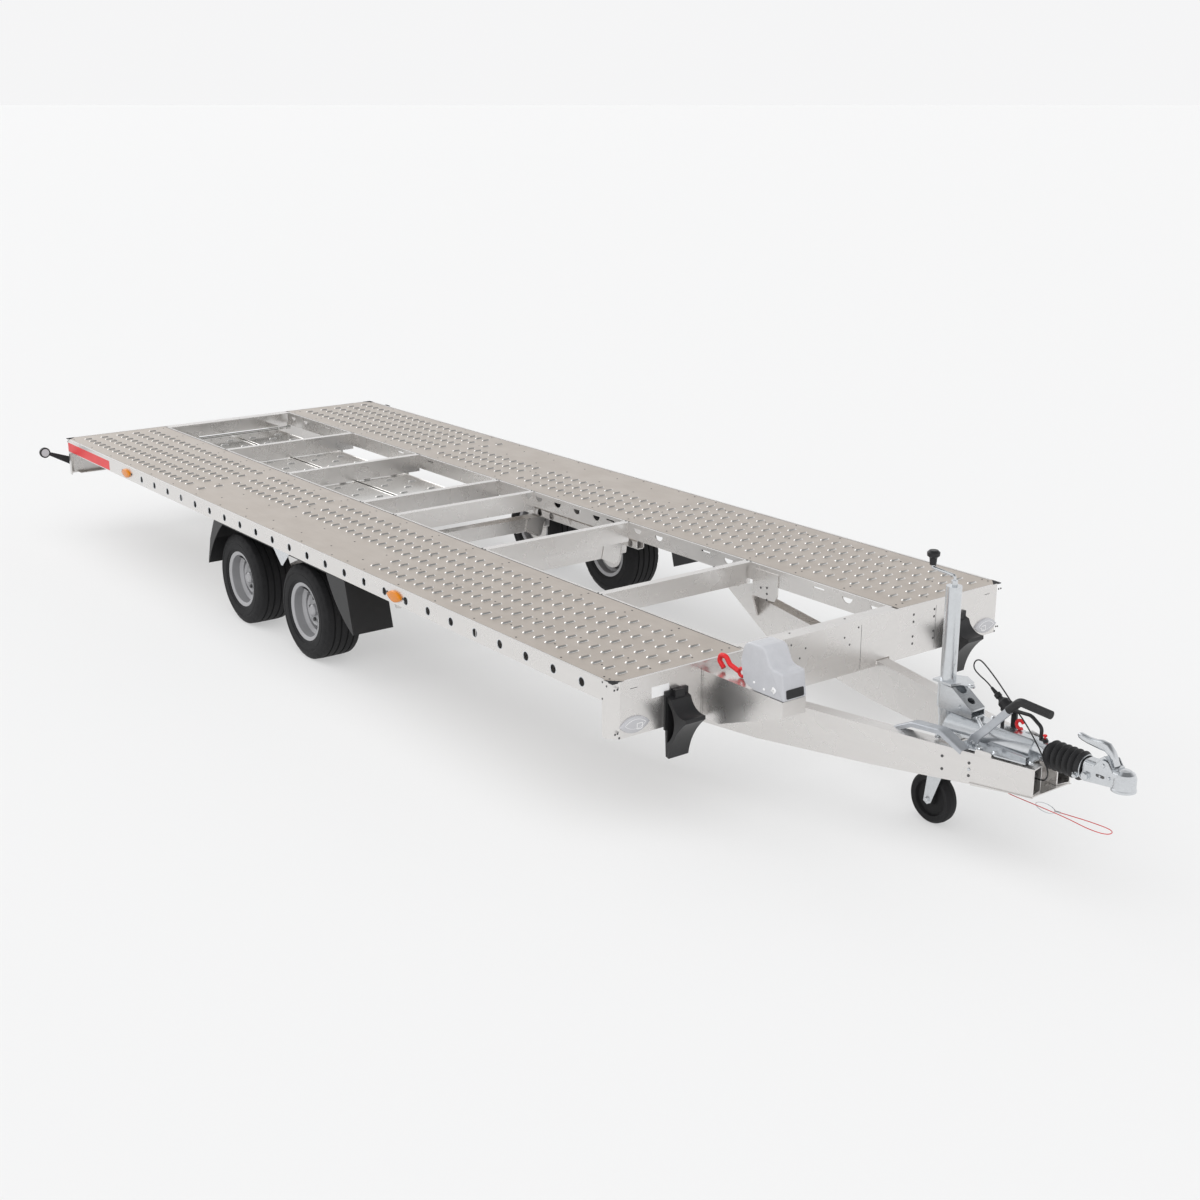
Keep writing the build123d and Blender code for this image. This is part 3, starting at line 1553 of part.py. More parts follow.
def make_marker_stalks():
    """Rubber stalks that hold the rear marker lamps out past the deck."""
    root_y = half_width - 30
    end = marker_reach - marker_ring_radius
    root_z = deck_height - 145
    end_z = marker_height
    with BuildPart() as stalks:
        with BuildSketch(Plane(origin=(rear - 7, root_y, root_z), x_dir=(-1, 0, 0), z_dir=(0, 1, 0))):
            RectangleRounded(13.6, 52, 6)
        with BuildSketch(Plane(origin=(rear - 7, end - 22, end_z - 8), x_dir=(-1, 0, 0), z_dir=(0, 1, 0))):
            RectangleRounded(12, 22, 5)
        loft()
        with Locations((rear - 7, root_y - 4, root_z - 2)):
            Box(14, 12, 100)
        with Locations((rear - 7, end, end_z)):
            Cylinder(marker_ring_radius, 16, rotation=(0, 90, 0))
            Cylinder(marker_lens_radius + 0.3, 30, rotation=(0, 90, 0), mode=Mode.SUBTRACT)
        mirror(about=Plane.XZ)
    return stalks


def make_marker_lenses():
    """White and red lenses in the rear marker lamps."""
    y = marker_reach - marker_ring_radius
    with BuildPart() as lenses:
        with Locations((rear - 7, y, marker_height)):
            Cylinder(marker_lens_radius, 20, rotation=(0, 90, 0))
        mirror(about=Plane.XZ)
    return lenses


def make_tail_lamps():
    """Tail lamp clusters on the outside of the rear panel."""
    depth = tail_depth
    with BuildPart() as lamps:
        with BuildSketch(Plane.YZ.offset(rear)):
            with Locations((half_width - 230, deck_height - 110)):
                RectangleRounded(230, 110, 14)
        extrude(amount=-depth)
        mirror(about=Plane.XZ)
    return lamps


pieces["winch_bracket"] = make_winch_bracket()
pieces["winch_housing"] = make_winch_housing()
pieces["winch_hook"] = make_winch_hook()
pieces["chocks"] = on_both_sides(make_chock())
pieces["front_lamps"] = make_front_lamps()
pieces["side_markers"] = make_side_markers()
pieces["marker_stalks"] = make_marker_stalks()
pieces["marker_lenses"] = make_marker_lenses()
pieces["tail_lamps"] = make_tail_lamps()

for name, piece in pieces.items():
    piece.part.label = name
    export_step(piece.part, f"parts/{name}.step")
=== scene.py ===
import math

import bmesh
import bpy
from bpy.props import FloatProperty, FloatVectorProperty, IntProperty, PointerProperty
from bpy.types import NodeSocket, Operator, Panel, PropertyGroup
from mathutils import Matrix, Vector


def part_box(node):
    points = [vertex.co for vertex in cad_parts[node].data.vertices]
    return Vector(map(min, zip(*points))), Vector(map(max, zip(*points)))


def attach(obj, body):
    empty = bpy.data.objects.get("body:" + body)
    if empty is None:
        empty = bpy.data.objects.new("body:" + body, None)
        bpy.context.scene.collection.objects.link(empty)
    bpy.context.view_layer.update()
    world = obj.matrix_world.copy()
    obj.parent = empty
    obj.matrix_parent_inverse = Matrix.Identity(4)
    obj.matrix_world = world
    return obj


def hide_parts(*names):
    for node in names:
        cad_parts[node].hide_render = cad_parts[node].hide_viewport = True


bl_info = {
    "name": "Car transporter trailer",
    "version": (1, 0, 0),
    "blender": (4, 5, 0),
    "location": "View3D > Sidebar > Trailer",
    "description": "Dresses the solids of a twin-axle car transporter trailer",
    "category": "Object",
}

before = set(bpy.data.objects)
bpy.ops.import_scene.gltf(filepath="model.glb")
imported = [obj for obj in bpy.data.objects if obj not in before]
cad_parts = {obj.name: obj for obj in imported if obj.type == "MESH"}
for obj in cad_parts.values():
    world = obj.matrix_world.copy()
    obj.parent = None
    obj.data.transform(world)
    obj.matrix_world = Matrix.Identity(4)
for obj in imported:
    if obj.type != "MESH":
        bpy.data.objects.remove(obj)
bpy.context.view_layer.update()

# The solids that the dressing pieces are set against
PLANK_LOW, PLANK_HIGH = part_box("deck_plank_right")
RAIL_LOW, RAIL_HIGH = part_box("side_rails")
PANEL_LOW, PANEL_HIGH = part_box("front_panel")
POST_LOW, POST_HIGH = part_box("corner_posts")
BELLOWS_LOW, BELLOWS_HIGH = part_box("bellows")
WINCH_LOW, WINCH_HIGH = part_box("winch_housing")
INNER_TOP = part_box("inner_rails")[1].z
HOUSING_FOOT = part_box("hitch_housing")[0].z

WHEELS = ("front_left", "front_right", "rear_left", "rear_right")
SIDES = (-1, 1)
HANDS = (("right", -1), ("left", 1))
FORWARDS, LEFT, UP = Vector((1, 0, 0)), Vector((0, 1, 0)), Vector((0, 0, 1))


# ---------------------------------------------------------------- shapes


def frame_at(centre, out, along=None):
    """A placing whose local z points out and whose local x points along."""
    up = Vector(out).normalized()
    side = Vector(along) if along is not None else up.orthogonal()
    side = (side - up * side.dot(up)).normalized()
    turn = Matrix((side, up.cross(side), up)).transposed().to_4x4()
    return Matrix.Translation(Vector(centre)) @ turn


def on_front(x, y=0.0, z=0.0):
    return frame_at((x, y, z), FORWARDS, LEFT)


def on_side(side, y, x=0.0, z=0.0):
    """Local x runs along the trailer and local y up; on the left the x runs backwards."""
    return frame_at((x, y, z), (0, side, 0), (-side, 0, 0))


def on_top(z, x=0.0, y=0.0):
    return frame_at((x, y, z), UP, FORWARDS)


def skin_rings(bm, rings, joined=False):
    """Joins rings of points into a skin, its ends capped or joined to each other."""
    rows = [[bm.verts.new(point) for point in ring] for ring in rings]
    if joined:
        rows.append(rows[0])
    for lower, upper in zip(rows, rows[1:]):
        for i in range(len(lower)):
            j = (i + 1) % len(lower)
            bm.faces.new((lower[i], lower[j], upper[j], upper[i]))
    if not joined:
        bm.faces.new(rows[0][::-1])
        bm.faces.new(rows[-1])
    return rows


def circle(radius, steps):
    turns = [2 * math.pi * i / steps for i in range(steps)]
    return [(radius * math.cos(turn), radius * math.sin(turn)) for turn in turns]


def hoop(x, y, z, radius, steps, flat=None):
    """A closed path round a centre: in the plane across x, or in the one across y."""
    turns = [2 * math.pi * i / steps for i in range(steps + 1)]
    if flat == "y":
        return [(x + radius * math.cos(a), y, z + radius * math.sin(a)) for a in turns]
    return [(x, y + radius * math.cos(a), z + radius * math.sin(a)) for a in turns]


def stadium(length, width, steps=7):
    """Outline of an oval with straight sides, long along x, counter-clockwise."""
    radius = width / 2
    reach = max(length / 2 - radius, 0.0)
    turns = [-math.pi / 2 + math.pi * i / steps for i in range(steps + 1)]
    return [
        (side * (reach + radius * math.cos(turn)), side * radius * math.sin(turn))
        for side in (1, -1)
        for turn in turns
    ]


def rounded_box(length, width, radius, steps=4):
    """Outline of a rectangle with round corners, counter-clockwise."""
    radius = min(radius, length / 2, width / 2)
    points = []
    for sx, sy, start in ((1, 1, 0), (-1, 1, 90), (-1, -1, 180), (1, -1, 270)):
        x, y = sx * (length / 2 - radius), sy * (width / 2 - radius)
        for i in range(steps + 1):
            turn = math.radians(start + 90 * i / steps)
            points.append((x + radius * math.cos(turn), y + radius * math.sin(turn)))
    return points


def pointed_oval(length, width, steps=10):
    """Outline of two arcs that meet in a point at each end, counter-clockwise."""
    reach, rise = length / 2, width / 2
    radius = (reach**2 + rise**2) / (2 * rise)
    most = math.asin(reach / radius)
    turns = [most * (1 - 2 * i / steps) for i in range(steps)]
    upper = [(radius * math.sin(a), radius * math.cos(a) - radius + rise) for a in turns]
    return upper + [(-x, -y) for x, y in upper]


def rounded_path(points, radii, steps=6, closed=True):
    """A path through corners, each rounded to its radius."""
    points = [Vector(point) for point in points]
    count = len(points)
    path = []
    for i, (corner, radius) in enumerate(zip(points, radii)):
        if not closed and i in (0, count - 1) or radius <= 0:
            path.append(corner)
            continue
        before = points[i - 1] - corner
        after = points[(i + 1) % count] - corner
        turn = before.angle(after)
        trim = min(radius / math.tan(turn / 2), 0.49 * before.length, 0.49 * after.length)
        start = corner + before.normalized() * trim
        end = corner + after.normalized() * trim
        for k in range(steps + 1):
            t = k / steps
            path.append((1 - t) ** 2 * start + 2 * t * (1 - t) * corner + t**2 * end)
    return path


def bent(corners, y, radii, steps):
    """An open path of rounded (x, z) corners in the plane at y."""
    return rounded_path([(x, y, z) for x, z in corners], radii, steps, closed=False)


def crown(bm, place, outline, levels):
    """Raises an outline through levels of (share of size, height), from foot to top."""
    rings = []
    for share, height in levels:
        rings.append([place @ Vector((x * share, y * share, height)) for x, y in outline])
    skin_rings(bm, rings)


def rivet(bm, centre, out, radius, height):
    """A low domed rivet head."""
    levels = ((1, -0.0006), (1, height * 0.35), (0.82, height * 0.8), (0.4, height))
    crown(bm, frame_at(centre, out), circle(radius, 12), levels)


def hex_bolt(bm, centre, out, across, height, washer=1.45):
    """A hexagon head with a chamfered top, on its washer."""
    place = frame_at(centre, out)
    rim = across / 2 / math.cos(math.pi / 6)
    levels = ((1, -0.001), (1, height * 0.22), (0.94, height * 0.3))
    crown(bm, place, circle(across / 2 * washer, 24), levels)
    crown(bm, place, circle(rim, 6), ((1, 0), (1, height * 0.82), (0.84, height)))


def plate(bm, centre, out, along, length, width, thickness, radius=0.004, edge=0.0006):
    """A thin plate with round corners and a broken edge."""
    place = frame_at(centre, out, along)
    rings = []
    for inwards, height in ((0, -0.0005), (0, thickness - edge), (edge, thickness)):
        ring = []
        for x, y in rounded_box(length, width, radius):
            reach = math.hypot(x, y)
            share = max(reach - inwards, 0.05 * reach) / reach
            ring.append(place @ Vector((x * share, y * share, height)))
        rings.append(ring)
    skin_rings(bm, rings)


def turned(bm, place, profile, steps, joined=False, notch=None):
    """A turned part: a profile of (place along the axis, radius) round local z."""
    rings = []
    for index, (along, radius) in enumerate(profile):
        ring = []
        for i in range(steps):
            spoke = radius - (notch(index, i) if notch else 0)
            turn = 2 * math.pi * i / steps
            ring.append(place @ Vector((spoke * math.cos(turn), spoke * math.sin(turn), along)))
        rings.append(ring)
    skin_rings(bm, rings, joined)


def dimple_ring(bm, place, inner, outer, depth):
    """A swaged collar round a hole: it rises from the sheet and turns into the hole."""
    wide = outer - inner
    section = (
        (-0.0003, outer),
        (depth * 0.3, outer - wide * 0.35),
        (depth * 0.25, inner + wide * 0.2),
        (-depth * 0.4, inner),
        (-depth * 2.0, inner),
        (-depth * 2.0, inner + wide * 0.5),
    )
    turned(bm, place, section, 24, joined=True)


def headings(path):
    """Each point of a path, with the direction in which the path passes it."""
    points = [Vector(point) for point in path]
    for i, point in enumerate(points):
        ahead = points[min(i + 1, len(points) - 1)] - points[max(i - 1, 0)]
        yield point, ahead.normalized()


def rod(bm, path, radius, steps=12):
    """A round rod along a path of points."""
    rings = []
    side = None
    for point, ahead in headings(path):
        side = ahead.orthogonal() if side is None else side - ahead * side.dot(ahead)
        side.normalize()
        across = ahead.cross(side)
        rings.append([point + side * x + across * y for x, y in circle(radius, steps)])
    skin_rings(bm, rings)


def swept(bm, path, side, outline, sizes=None):
    """A bar along a path that keeps one direction, with the outline across it."""
    side = Vector(side).normalized()
    rings = []
    for i, (point, ahead) in enumerate(headings(path)):
        up = ahead.cross(side)
        wide, high = sizes[i] if sizes else (1, 1)
        rings.append([point + side * x * wide + up * y * high for x, y in outline])
    skin_rings(bm, rings)


def drawn_in(outline, distance):
    """An outline moved inwards by a distance; it runs counter-clockwise."""
    count = len(outline)
    moved = []
    for i, point in enumerate(outline):
        before = point - outline[i - 1]
        after = outline[(i + 1) % count] - point
        ahead = before.normalized() + after.normalized()
        if ahead.length < 1e-6:
            ahead = after
        ahead.normalize()
        stretch = max(0.35, abs(ahead.dot(after.normalized())) if after.length else 1)
        moved.append(point + Vector((-ahead.y, ahead.x)) * distance / stretch)
    return moved


def slab(bm, place, outline, depth, edge=0.001, steps=2):
    """A flat part cut to an outline, its edges rounded over on both sides."""
    outline = [Vector(point).to_2d() for point in outline]
    area = sum(a.x * b.y - b.x * a.y for a, b in zip(outline, outline[1:] + outline[:1]))
    if area < 0:
        outline.reverse()
    turns = [math.pi / 2 * k / steps for k in range(steps + 1)]
    levels = [(edge * (1 - math.sin(a)), edge * (1 - math.cos(a))) for a in turns]
    levels += [(inwards, depth - height) for inwards, height in reversed(levels)]
    rings = []
    for inwards, height in levels:
        ring = drawn_in(outline, inwards) if inwards > 1e-7 else outline
        rings.append([place @ Vector((x, y, height)) for x, y in ring])
    skin_rings(bm, rings)


def meshes(count):
    return [bmesh.new() for _ in range(count)]


# A slot name for each finish, where it isn't the finish's own name; make_piece looks it up and
# sets it on nothing
SLOTS = {
    "bright_zinc": "bright",
    "dark_steel": "black_plastic",
    "dull_zinc": "bright",
    # The plank seams' painted shade goes under the black plastic slot name
    "shadow_slot": "black_plastic",
    "tread_oval": "tread",
    "tread_sheet": "tread",
    "zinc_sheet": "zinc",
}


def make_piece(name, bm, finish, slot=None, node=None, smooth=35, body="chassis"):
    """Closes a mesh up into a piece that rides on its body."""
    bmesh.ops.recalc_face_normals(bm, faces=bm.faces)
    mesh = bpy.data.meshes.new(name)
    bm.to_mesh(mesh)
    bm.free()
    mesh.materials.append(FINISHES[finish])
    mesh.shade_smooth()
    mesh.set_sharp_from_angle(angle=math.radians(smooth))
    piece = bpy.data.objects.new(name, mesh)
    bpy.context.scene.collection.objects.link(piece)
    slot = slot or SLOTS.get(finish, finish)
    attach(piece, body)
    if node:
        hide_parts(node)
    return piece


# -------------------------------------------------------------- finishes

FINISHES = {}


class Wiring:
    """Lays out the nodes of one finish, or of the studio's light."""

    def __init__(self, owner, shader="Principled BSDF", places="Object"):
        owner.use_nodes = True
        self.owner = owner
        self.tree = owner.node_tree
        self.shader = self.tree.nodes[shader]
        self.places = self.add("ShaderNodeTexCoord").outputs[places]

    def add(self, kind, inputs=None, **values):
        node = self.tree.nodes.new(kind)
        for key, value in values.items():
            setattr(node, key, value)
        self.put(node, inputs or {})
        return node

    def put(self, node, inputs):
        """Gives a node its inputs, each of them a value or another node's output."""
        for name, value in inputs.items():
            if isinstance(value, NodeSocket):
                self.tree.links.new(value, node.inputs[name])
            else:
                node.inputs[name].default_value = value

    def stretched(self, scale):
        inputs = {"Vector": self.places, "Scale": scale}
        return self.add("ShaderNodeMapping", inputs).outputs["Vector"]

    def noise(self, places, scale, detail, roughness=0.5):
        inputs = {"Vector": places, "Scale": scale, "Detail": detail, "Roughness": roughness}
        return self.add("ShaderNodeTexNoise", inputs).outputs["Fac"]

    def spangle(self, scale):
        """Crystal patches, as on hot-dip zinc."""
        cells = self.add("ShaderNodeTexVoronoi", {"Vector": self.places, "Scale": scale})
        inputs = {"Color": cells.outputs["Color"]}
        return self.add("ShaderNodeSeparateColor", inputs).outputs["Red"]

    def blend(self, share, one, other, low=0.3, high=0.7):
        """A colour that wanders from one to the other."""
        ramp = self.add("ShaderNodeValToRGB", {"Fac": share})
        ends = zip(ramp.color_ramp.elements, (low, high), (one, other))
        for end, place, colour in ends:
            end.position = place
            end.color = (*colour, 1)
        return ramp.outputs["Color"]

    def span(self, share, low, high, start=0.25, stop=0.75, kind="LINEAR"):
        """A value that wanders between low and high."""
        inputs = {"Value": share, "From Min": start, "From Max": stop}
        inputs.update({"To Min": low, "To Max": high})
        node = self.add("ShaderNodeMapRange", inputs, interpolation_type=kind)
        return node.outputs["Result"]

    def relief(self, height, strength, distance):
        inputs = {"Height": height, "Strength": strength, "Distance": distance}
        bump = self.add("ShaderNodeBump", inputs)
        self.put(self.shader, {"Normal": bump.outputs["Normal"]})


def shade(colour, factor):
    return tuple(min(1.0, c * factor) for c in colour)


def around(colour, contrast):
    """A colour's darker and lighter neighbours."""
    return shade(colour, 1 - contrast), shade(colour, 1 + contrast)


def metal_finish(name, colour, metallic, gloss, scale, patches, contrast, relief):
    """Sheet or cast metal: wandering tone, crystal patches, uneven gloss, fine relief."""
    wires = Wiring(bpy.data.materials.new(name))
    grain = wires.noise(wires.stretched(scale), 6.0, 4.0, 0.6)
    tone = wires.blend(grain, *around(colour, contrast))
    if patches:
        crystals = wires.blend(wires.spangle(patches), *around(colour, contrast), 0, 1)
        inputs = {"Factor": 0.5, "A": tone, "B": crystals}
        tone = wires.add("ShaderNodeMix", inputs, data_type="RGBA").outputs["Result"]
    uneven = wires.span(wires.noise(wires.places, 9.0, 2.0), *gloss)
    inputs = {"Base Color": tone, "Roughness": uneven, "Metallic": metallic}
    wires.put(wires.shader, inputs)
    wires.relief(grain, relief, 0.0004)
    return wires.owner


def matt_finish(name, colour, gloss, scale, contrast, relief, sheen):
    """Rubber, plastic or paint: a mottled tone with a fine surface."""
    wires = Wiring(bpy.data.materials.new(name))
    grain = wires.noise(wires.places, scale, 5.0, 0.6)
    clouds = wires.noise(wires.places, scale * 0.08, 2.0)
    tone = wires.blend(clouds, *around(colour, contrast))
    inputs = {"Base Color": tone, "Roughness": wires.span(grain, *gloss)}
    wires.put(wires.shader, {**inputs, "Specular IOR Level": sheen})
    wires.relief(grain, relief, 0.0003)
    return wires.owner


def lens_finish(name, colour):
    """A ribbed lamp lens: glossy plastic whose ribs darken and lighten it."""
    wires = Wiring(bpy.data.materials.new(name))
    inputs = {"Vector": wires.places, "Scale": 110.0, "Distortion": 0.4}
    ribs = wires.add("ShaderNodeTexWave", inputs, bands_direction="DIAGONAL").outputs["Fac"]
    tone = wires.blend(ribs, *around(colour, 0.08), 0, 1)
    uneven = wires.span(wires.noise(wires.places, 60.0, 2.0), 0.12, 0.2)
    inputs = {"Base Color": tone, "Roughness": uneven}
    wires.put(wires.shader, {**inputs, "Coat Weight": 0.2, "Coat Roughness": 0.08})
    wires.relief(ribs, 0.2, 0.0005)
    return wires.owner


# Name, colour, metallic, roughness, grain scale, patch scale, contrast, relief
METALS = (
    ("zinc_sheet", "zinc", 0.9, (0.24, 0.32), (0.6, 2.0, 8.0), 0, 0.012, 0.012),
    ("tread_sheet", "tread", 0.9, (0.28, 0.36), (1.0, 6.0, 1.0), 0, 0.03, 0.03),
    # The ovals' metal: a near-white, glossier copy of the plank sheet, a painted highlight
    ("tread_oval", "oval", 0.95, (0.13, 0.2), (4.0, 4.0, 4.0), 0, 0.04, 0.03),
    ("ramp_tread", "ramp", 0.95, (0.14, 0.2), (2.0, 2.0, 2.0), 0, 0.03, 0.015),
    ("bright_zinc", "bright", 0.95, (0.17, 0.27), (3.0, 3.0, 3.0), 120, 0.05, 0.04),
    ("dull_zinc", "dull", 0.8, (0.34, 0.46), (5.0, 5.0, 5.0), 90, 0.06, 0.08),
    ("wheel_silver", "wheel", 0.5, (0.34, 0.44), (3.0, 3.0, 3.0), 0, 0.03, 0.04),
    ("dark_steel", "steel", 0.8, (0.3, 0.5), (20.0, 20.0, 20.0), 0, 0.15, 0.1),
)

# Name, colour and its share, roughness, grain scale, contrast, relief, sheen
MATTS = (
    ("tyre_rubber", "tyre", 1, (0.62, 0.8), 220.0, 0.12, 0.2, 0.3),
    ("black_rubber", "black", 1, (0.42, 0.6), 260.0, 0.1, 0.2, 0.4),
    ("black_plastic", "black", 1, (0.34, 0.48), 320.0, 0.08, 0.12, 0.4),
    ("shadow_slot", "slot", 1, (0.6, 0.8), 90.0, 0.2, 0.05, 0.2),
    ("grey_plastic", "grey", 1, (0.2, 0.3), 300.0, 0.03, 0.04, 0.6),
    ("red_paint", "red", 1, (0.3, 0.42), 180.0, 0.05, 0.06, 0.5),
    ("red_cord", "red", 0.85, (0.4, 0.55), 500.0, 0.1, 0.2, 0.5),
    ("label_white", "white", 1, (0.4, 0.55), 240.0, 0.02, 0.04, 0.4),
)

LENSES = (("lens_amber", "amber"), ("lens_red", "lamp_red"), ("lens_white", "clear"))

# The finish of each solid, if it isn't zinc_sheet
SOLID_FINISHES = {
    "tread_sheet": "deck_plank_left deck_plank_right",
    "ramp_tread": "ramp_left ramp_right ramp_guides ramp_lock",
    "bright_zinc": (
        "brake_lever brake_strut breakaway_clip coupling_handle coupling_head draw_tube "
        "hitch_housing jack_bracket jack_fork jack_leg jack_tube"
    ),
    "dull_zinc": "brake_quadrant",
    "wheel_silver": "rim_front_left rim_front_right rim_rear_left rim_rear_right",
    "tyre_rubber": (
        "tyre_front_left tyre_front_right tyre_rear_left tyre_rear_right jack_wheel"
    ),
    "black_rubber": "bellows brake_grip plug_cable",
    "black_plastic": (
        "cable_bow cable_holders chocks corner_caps crank_knob marker_stalks mudguards plug"
    ),
    "grey_plastic": "winch_housing",
    "red_paint": "winch_hook release_hook",
    "red_cord": "breakaway_cable",
    "lens_amber": "side_markers",
    "lens_red": "tail_lamps",
    "lens_white": "front_lamps marker_lenses",
}


# ------------------------------------------------------- sizes and colours


def length_setting(name, description, default):
    return FloatProperty(name=name, description=description, default=default, unit="LENGTH")


def colour_setting(name, description, default):
    about = {"name": name, "description": description, "default": default}
    return FloatVectorProperty(**about, size=3, min=0, max=1, subtype="COLOR")


class TrailerSizes(PropertyGroup):
    """Sizes of the pieces that dress the solids."""

    oval_length: length_setting("Tread oval length", "Across the plank", 0.052)
    oval_width: length_setting("Tread oval width", "Along the plank", 0.023)
    oval_height: length_setting("Tread oval height", "Above the plank", 0.0058)
    row_pitch: length_setting("Row pitch", "From one row of ovals to the next", 0.07394)
    row_margin: length_setting("Row margin", "From the plank's rear end to its rows", 0.096)
    rows: IntProperty(name="Rows", description="Along a plank, its seams counted", default=72)
    groove_depth: length_setting("Tyre groove depth", "Of the grooves round the tread", 0.006)
    plug_cable_diameter: length_setting("Plug cable diameter", "Thickness", 0.005)
    plug_cable_length: length_setting("Plug cable length", "From holder to parked plug", 0.746)
    breakaway_diameter: length_setting("Breakaway cable diameter", "Thickness", 0.003)
    breakaway_length: length_setting("Breakaway cable length", "From drawbar to clip", 0.923)


class TrailerColours(PropertyGroup):
    """Colours of the trailer's finishes."""

    zinc: colour_setting("Zinc sheet", "Smooth zinc of the frame", (0.745, 0.727, 0.71))
    tread: colour_setting("Tread sheet", "Warm grey of the planks", (0.535, 0.475, 0.418))
    # Painted highlight: the ovals are pressed from the plank sheet, and this brighter copy of
    # its colour lights them up
    oval: colour_setting("Tread ovals", "Bright flanks of the ovals", (0.95, 0.93, 0.90))
    ramp: colour_setting("Ramp sheet", "Zinc of the stowed ramps", (0.62, 0.61, 0.59))
    bright: colour_setting("Bright zinc", "Plated hitch and jack parts", (0.66, 0.68, 0.70))
    dull: colour_setting("Dull zinc", "Rougher pressed parts", (0.50, 0.52, 0.55))
    wheel: colour_setting("Wheel silver", "Silver lacquer of the wheels", (0.41, 0.41, 0.42))
    steel: colour_setting("Dark steel", "Screws, rivets and pins", (0.12, 0.12, 0.12))
    tyre: colour_setting("Tyre rubber", "Rubber of the tyres", (0.013, 0.013, 0.014))
    black: colour_setting("Black parts", "Plastic and moulded rubber", (0.016, 0.016, 0.017))
    # Painted shade: the near-black of the strips laid in the plank seams, for the shade down in
    # the gaps
    slot: colour_setting("Dark slots", "Depth of small slots and gaps", (0.02, 0.02, 0.02))
    grey: colour_setting("Winch cover", "Pale plastic cover", (0.50, 0.505, 0.53))
    red: colour_setting("Red", "Hook, band, button and cable", (0.68, 0.02, 0.024))
    white: colour_setting("White", "Blank labels and plates", (0.85, 0.85, 0.85))
    amber: colour_setting("Amber", "Side reflectors", (0.64, 0.2, 0.002))
    lamp_red: colour_setting("Lamp red", "Rear lenses", (0.45, 0.01, 0.01))
    clear: colour_setting("Clear lens", "Pale lenses", (0.5, 0.5, 0.52))


# ------------------------------------------------------- camera and cords

CAMERA_PLACE = (6.336, -4.370, 2.594)
CAMERA_ROUND, CAMERA_RISE = 52.90, 17.15
LENS, SENSOR, NEAR, FAR = 49.23, 36.0, 0.1, 400.0


class TRAILER_OT_camera(Operator):
    """Set the camera that looks over the coupling's right-hand side"""

    bl_idname = "trailer.camera"
    bl_label = "Camera"

    def execute(self, context):
        data = bpy.data.cameras.new("camera")
        data.lens, data.sensor_width = LENS, SENSOR
        data.clip_start, data.clip_end = NEAR, FAR
        camera = bpy.data.objects.new("camera", data)
        context.scene.collection.objects.link(camera)
        turn, rise = math.radians(CAMERA_ROUND), math.radians(CAMERA_RISE)
        level = math.cos(rise)
        ahead = Vector((-math.sin(turn) * level, math.cos(turn) * level, -math.sin(rise)))
        camera.location = CAMERA_PLACE
        camera.rotation_mode = "QUATERNION"
        camera.rotation_quaternion = ahead.to_track_quat("-Z", "Y")
        context.scene.camera = camera
        return {"FINISHED"}


# From the cable holder over the loop to the parked plug
PLUG_CABLE_ROUTE = (
    (3.106, -0.067, 0.3625), (3.127, -0.067, 0.3625), (3.149, -0.068, 0.368),
    (3.161, -0.069, 0.391), (3.152, -0.068, 0.420), (3.115, -0.058, 0.458),
    (3.063, -0.035, 0.489), (3.006, -0.009, 0.516), (2.946, 0.014, 0.541),
    (2.893, 0.034, 0.566), (2.823, 0.048, 0.6115), (2.7737, 0.050, 0.6458),
    (2.7463, 0.050, 0.6623), (2.7297, 0.050, 0.6607), (2.7173, 0.050, 0.6495),
    (2.7139, 0.050, 0.6331), (2.721, 0.050, 0.618), (2.749, 0.050, 0.6025),
    (2.7783, 0.050, 0.5911), (2.8015, 0.050, 0.5755),
)

# From the drawbar down and round the hanging loop to the clip
BREAKAWAY_ROUTE = (
    (2.795, -0.008, 0.407), (2.795, -0.008, 0.372), (2.803, -0.009, 0.337),
    (2.820, -0.010, 0.302), (2.848, -0.011, 0.272), (2.886, -0.012, 0.252),
    (2.930, -0.014, 0.243), (2.975, -0.016, 0.240), (3.027, -0.015, 0.239),
    (3.080, -0.017, 0.240), (3.132, -0.016, 0.239), (3.184, -0.019, 0.240),
    (3.240, -0.025, 0.241), (3.290, -0.031, 0.240), (3.328, -0.032, 0.240),
    (3.360, -0.028, 0.240), (3.376, -0.019, 0.240), (3.3825, -0.007, 0.240),
    (3.380, 0.007, 0.240), (3.370, 0.0165, 0.241), (3.348, 0.019, 0.242),
    (3.308, 0.015, 0.243), (3.262, 0.009, 0.243), (3.216, 0.002, 0.242),
    (3.176, -0.004, 0.241),
)


def lay_cord(name, route, diameter, finish, node):
    """A round cord along its route, as a curve on the chassis."""
    data = bpy.data.curves.new(name, "CURVE")
    data.dimensions = "3D"
    line = data.splines.new("NURBS")
    line.points.add(len(route) - 1)
    for point, place in zip(line.points, route):
        point.co = (*place, 1)
    line.order_u = 3
    line.use_endpoint_u = True
    line.resolution_u = 8
    data.bevel_depth = diameter / 2
    data.bevel_resolution = 4
    data.use_fill_caps = True
    data.materials.append(FINISHES[finish])
    cord = bpy.data.objects.new(name, data)
    bpy.context.scene.collection.objects.link(cord)
    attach(cord, "chassis")
    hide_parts(node)
    return cord


class TRAILER_OT_cords(Operator):
    """Lay the plug cable over its bow and the breakaway cable under the drawbar"""

    bl_idname = "trailer.cords"
    bl_label = "Cords"

    def execute(self, context):
        sizes = context.scene.trailer_sizes
        route, diameter = PLUG_CABLE_ROUTE, sizes.plug_cable_diameter
        cable = lay_cord("plug_cable_cord", route, diameter, "black_rubber", "plug_cable")
        route, diameter = BREAKAWAY_ROUTE, sizes.breakaway_diameter
        cable = lay_cord("breakaway_cord", route, diameter, "red_cord", "breakaway_cable")
        return {"FINISHED"}


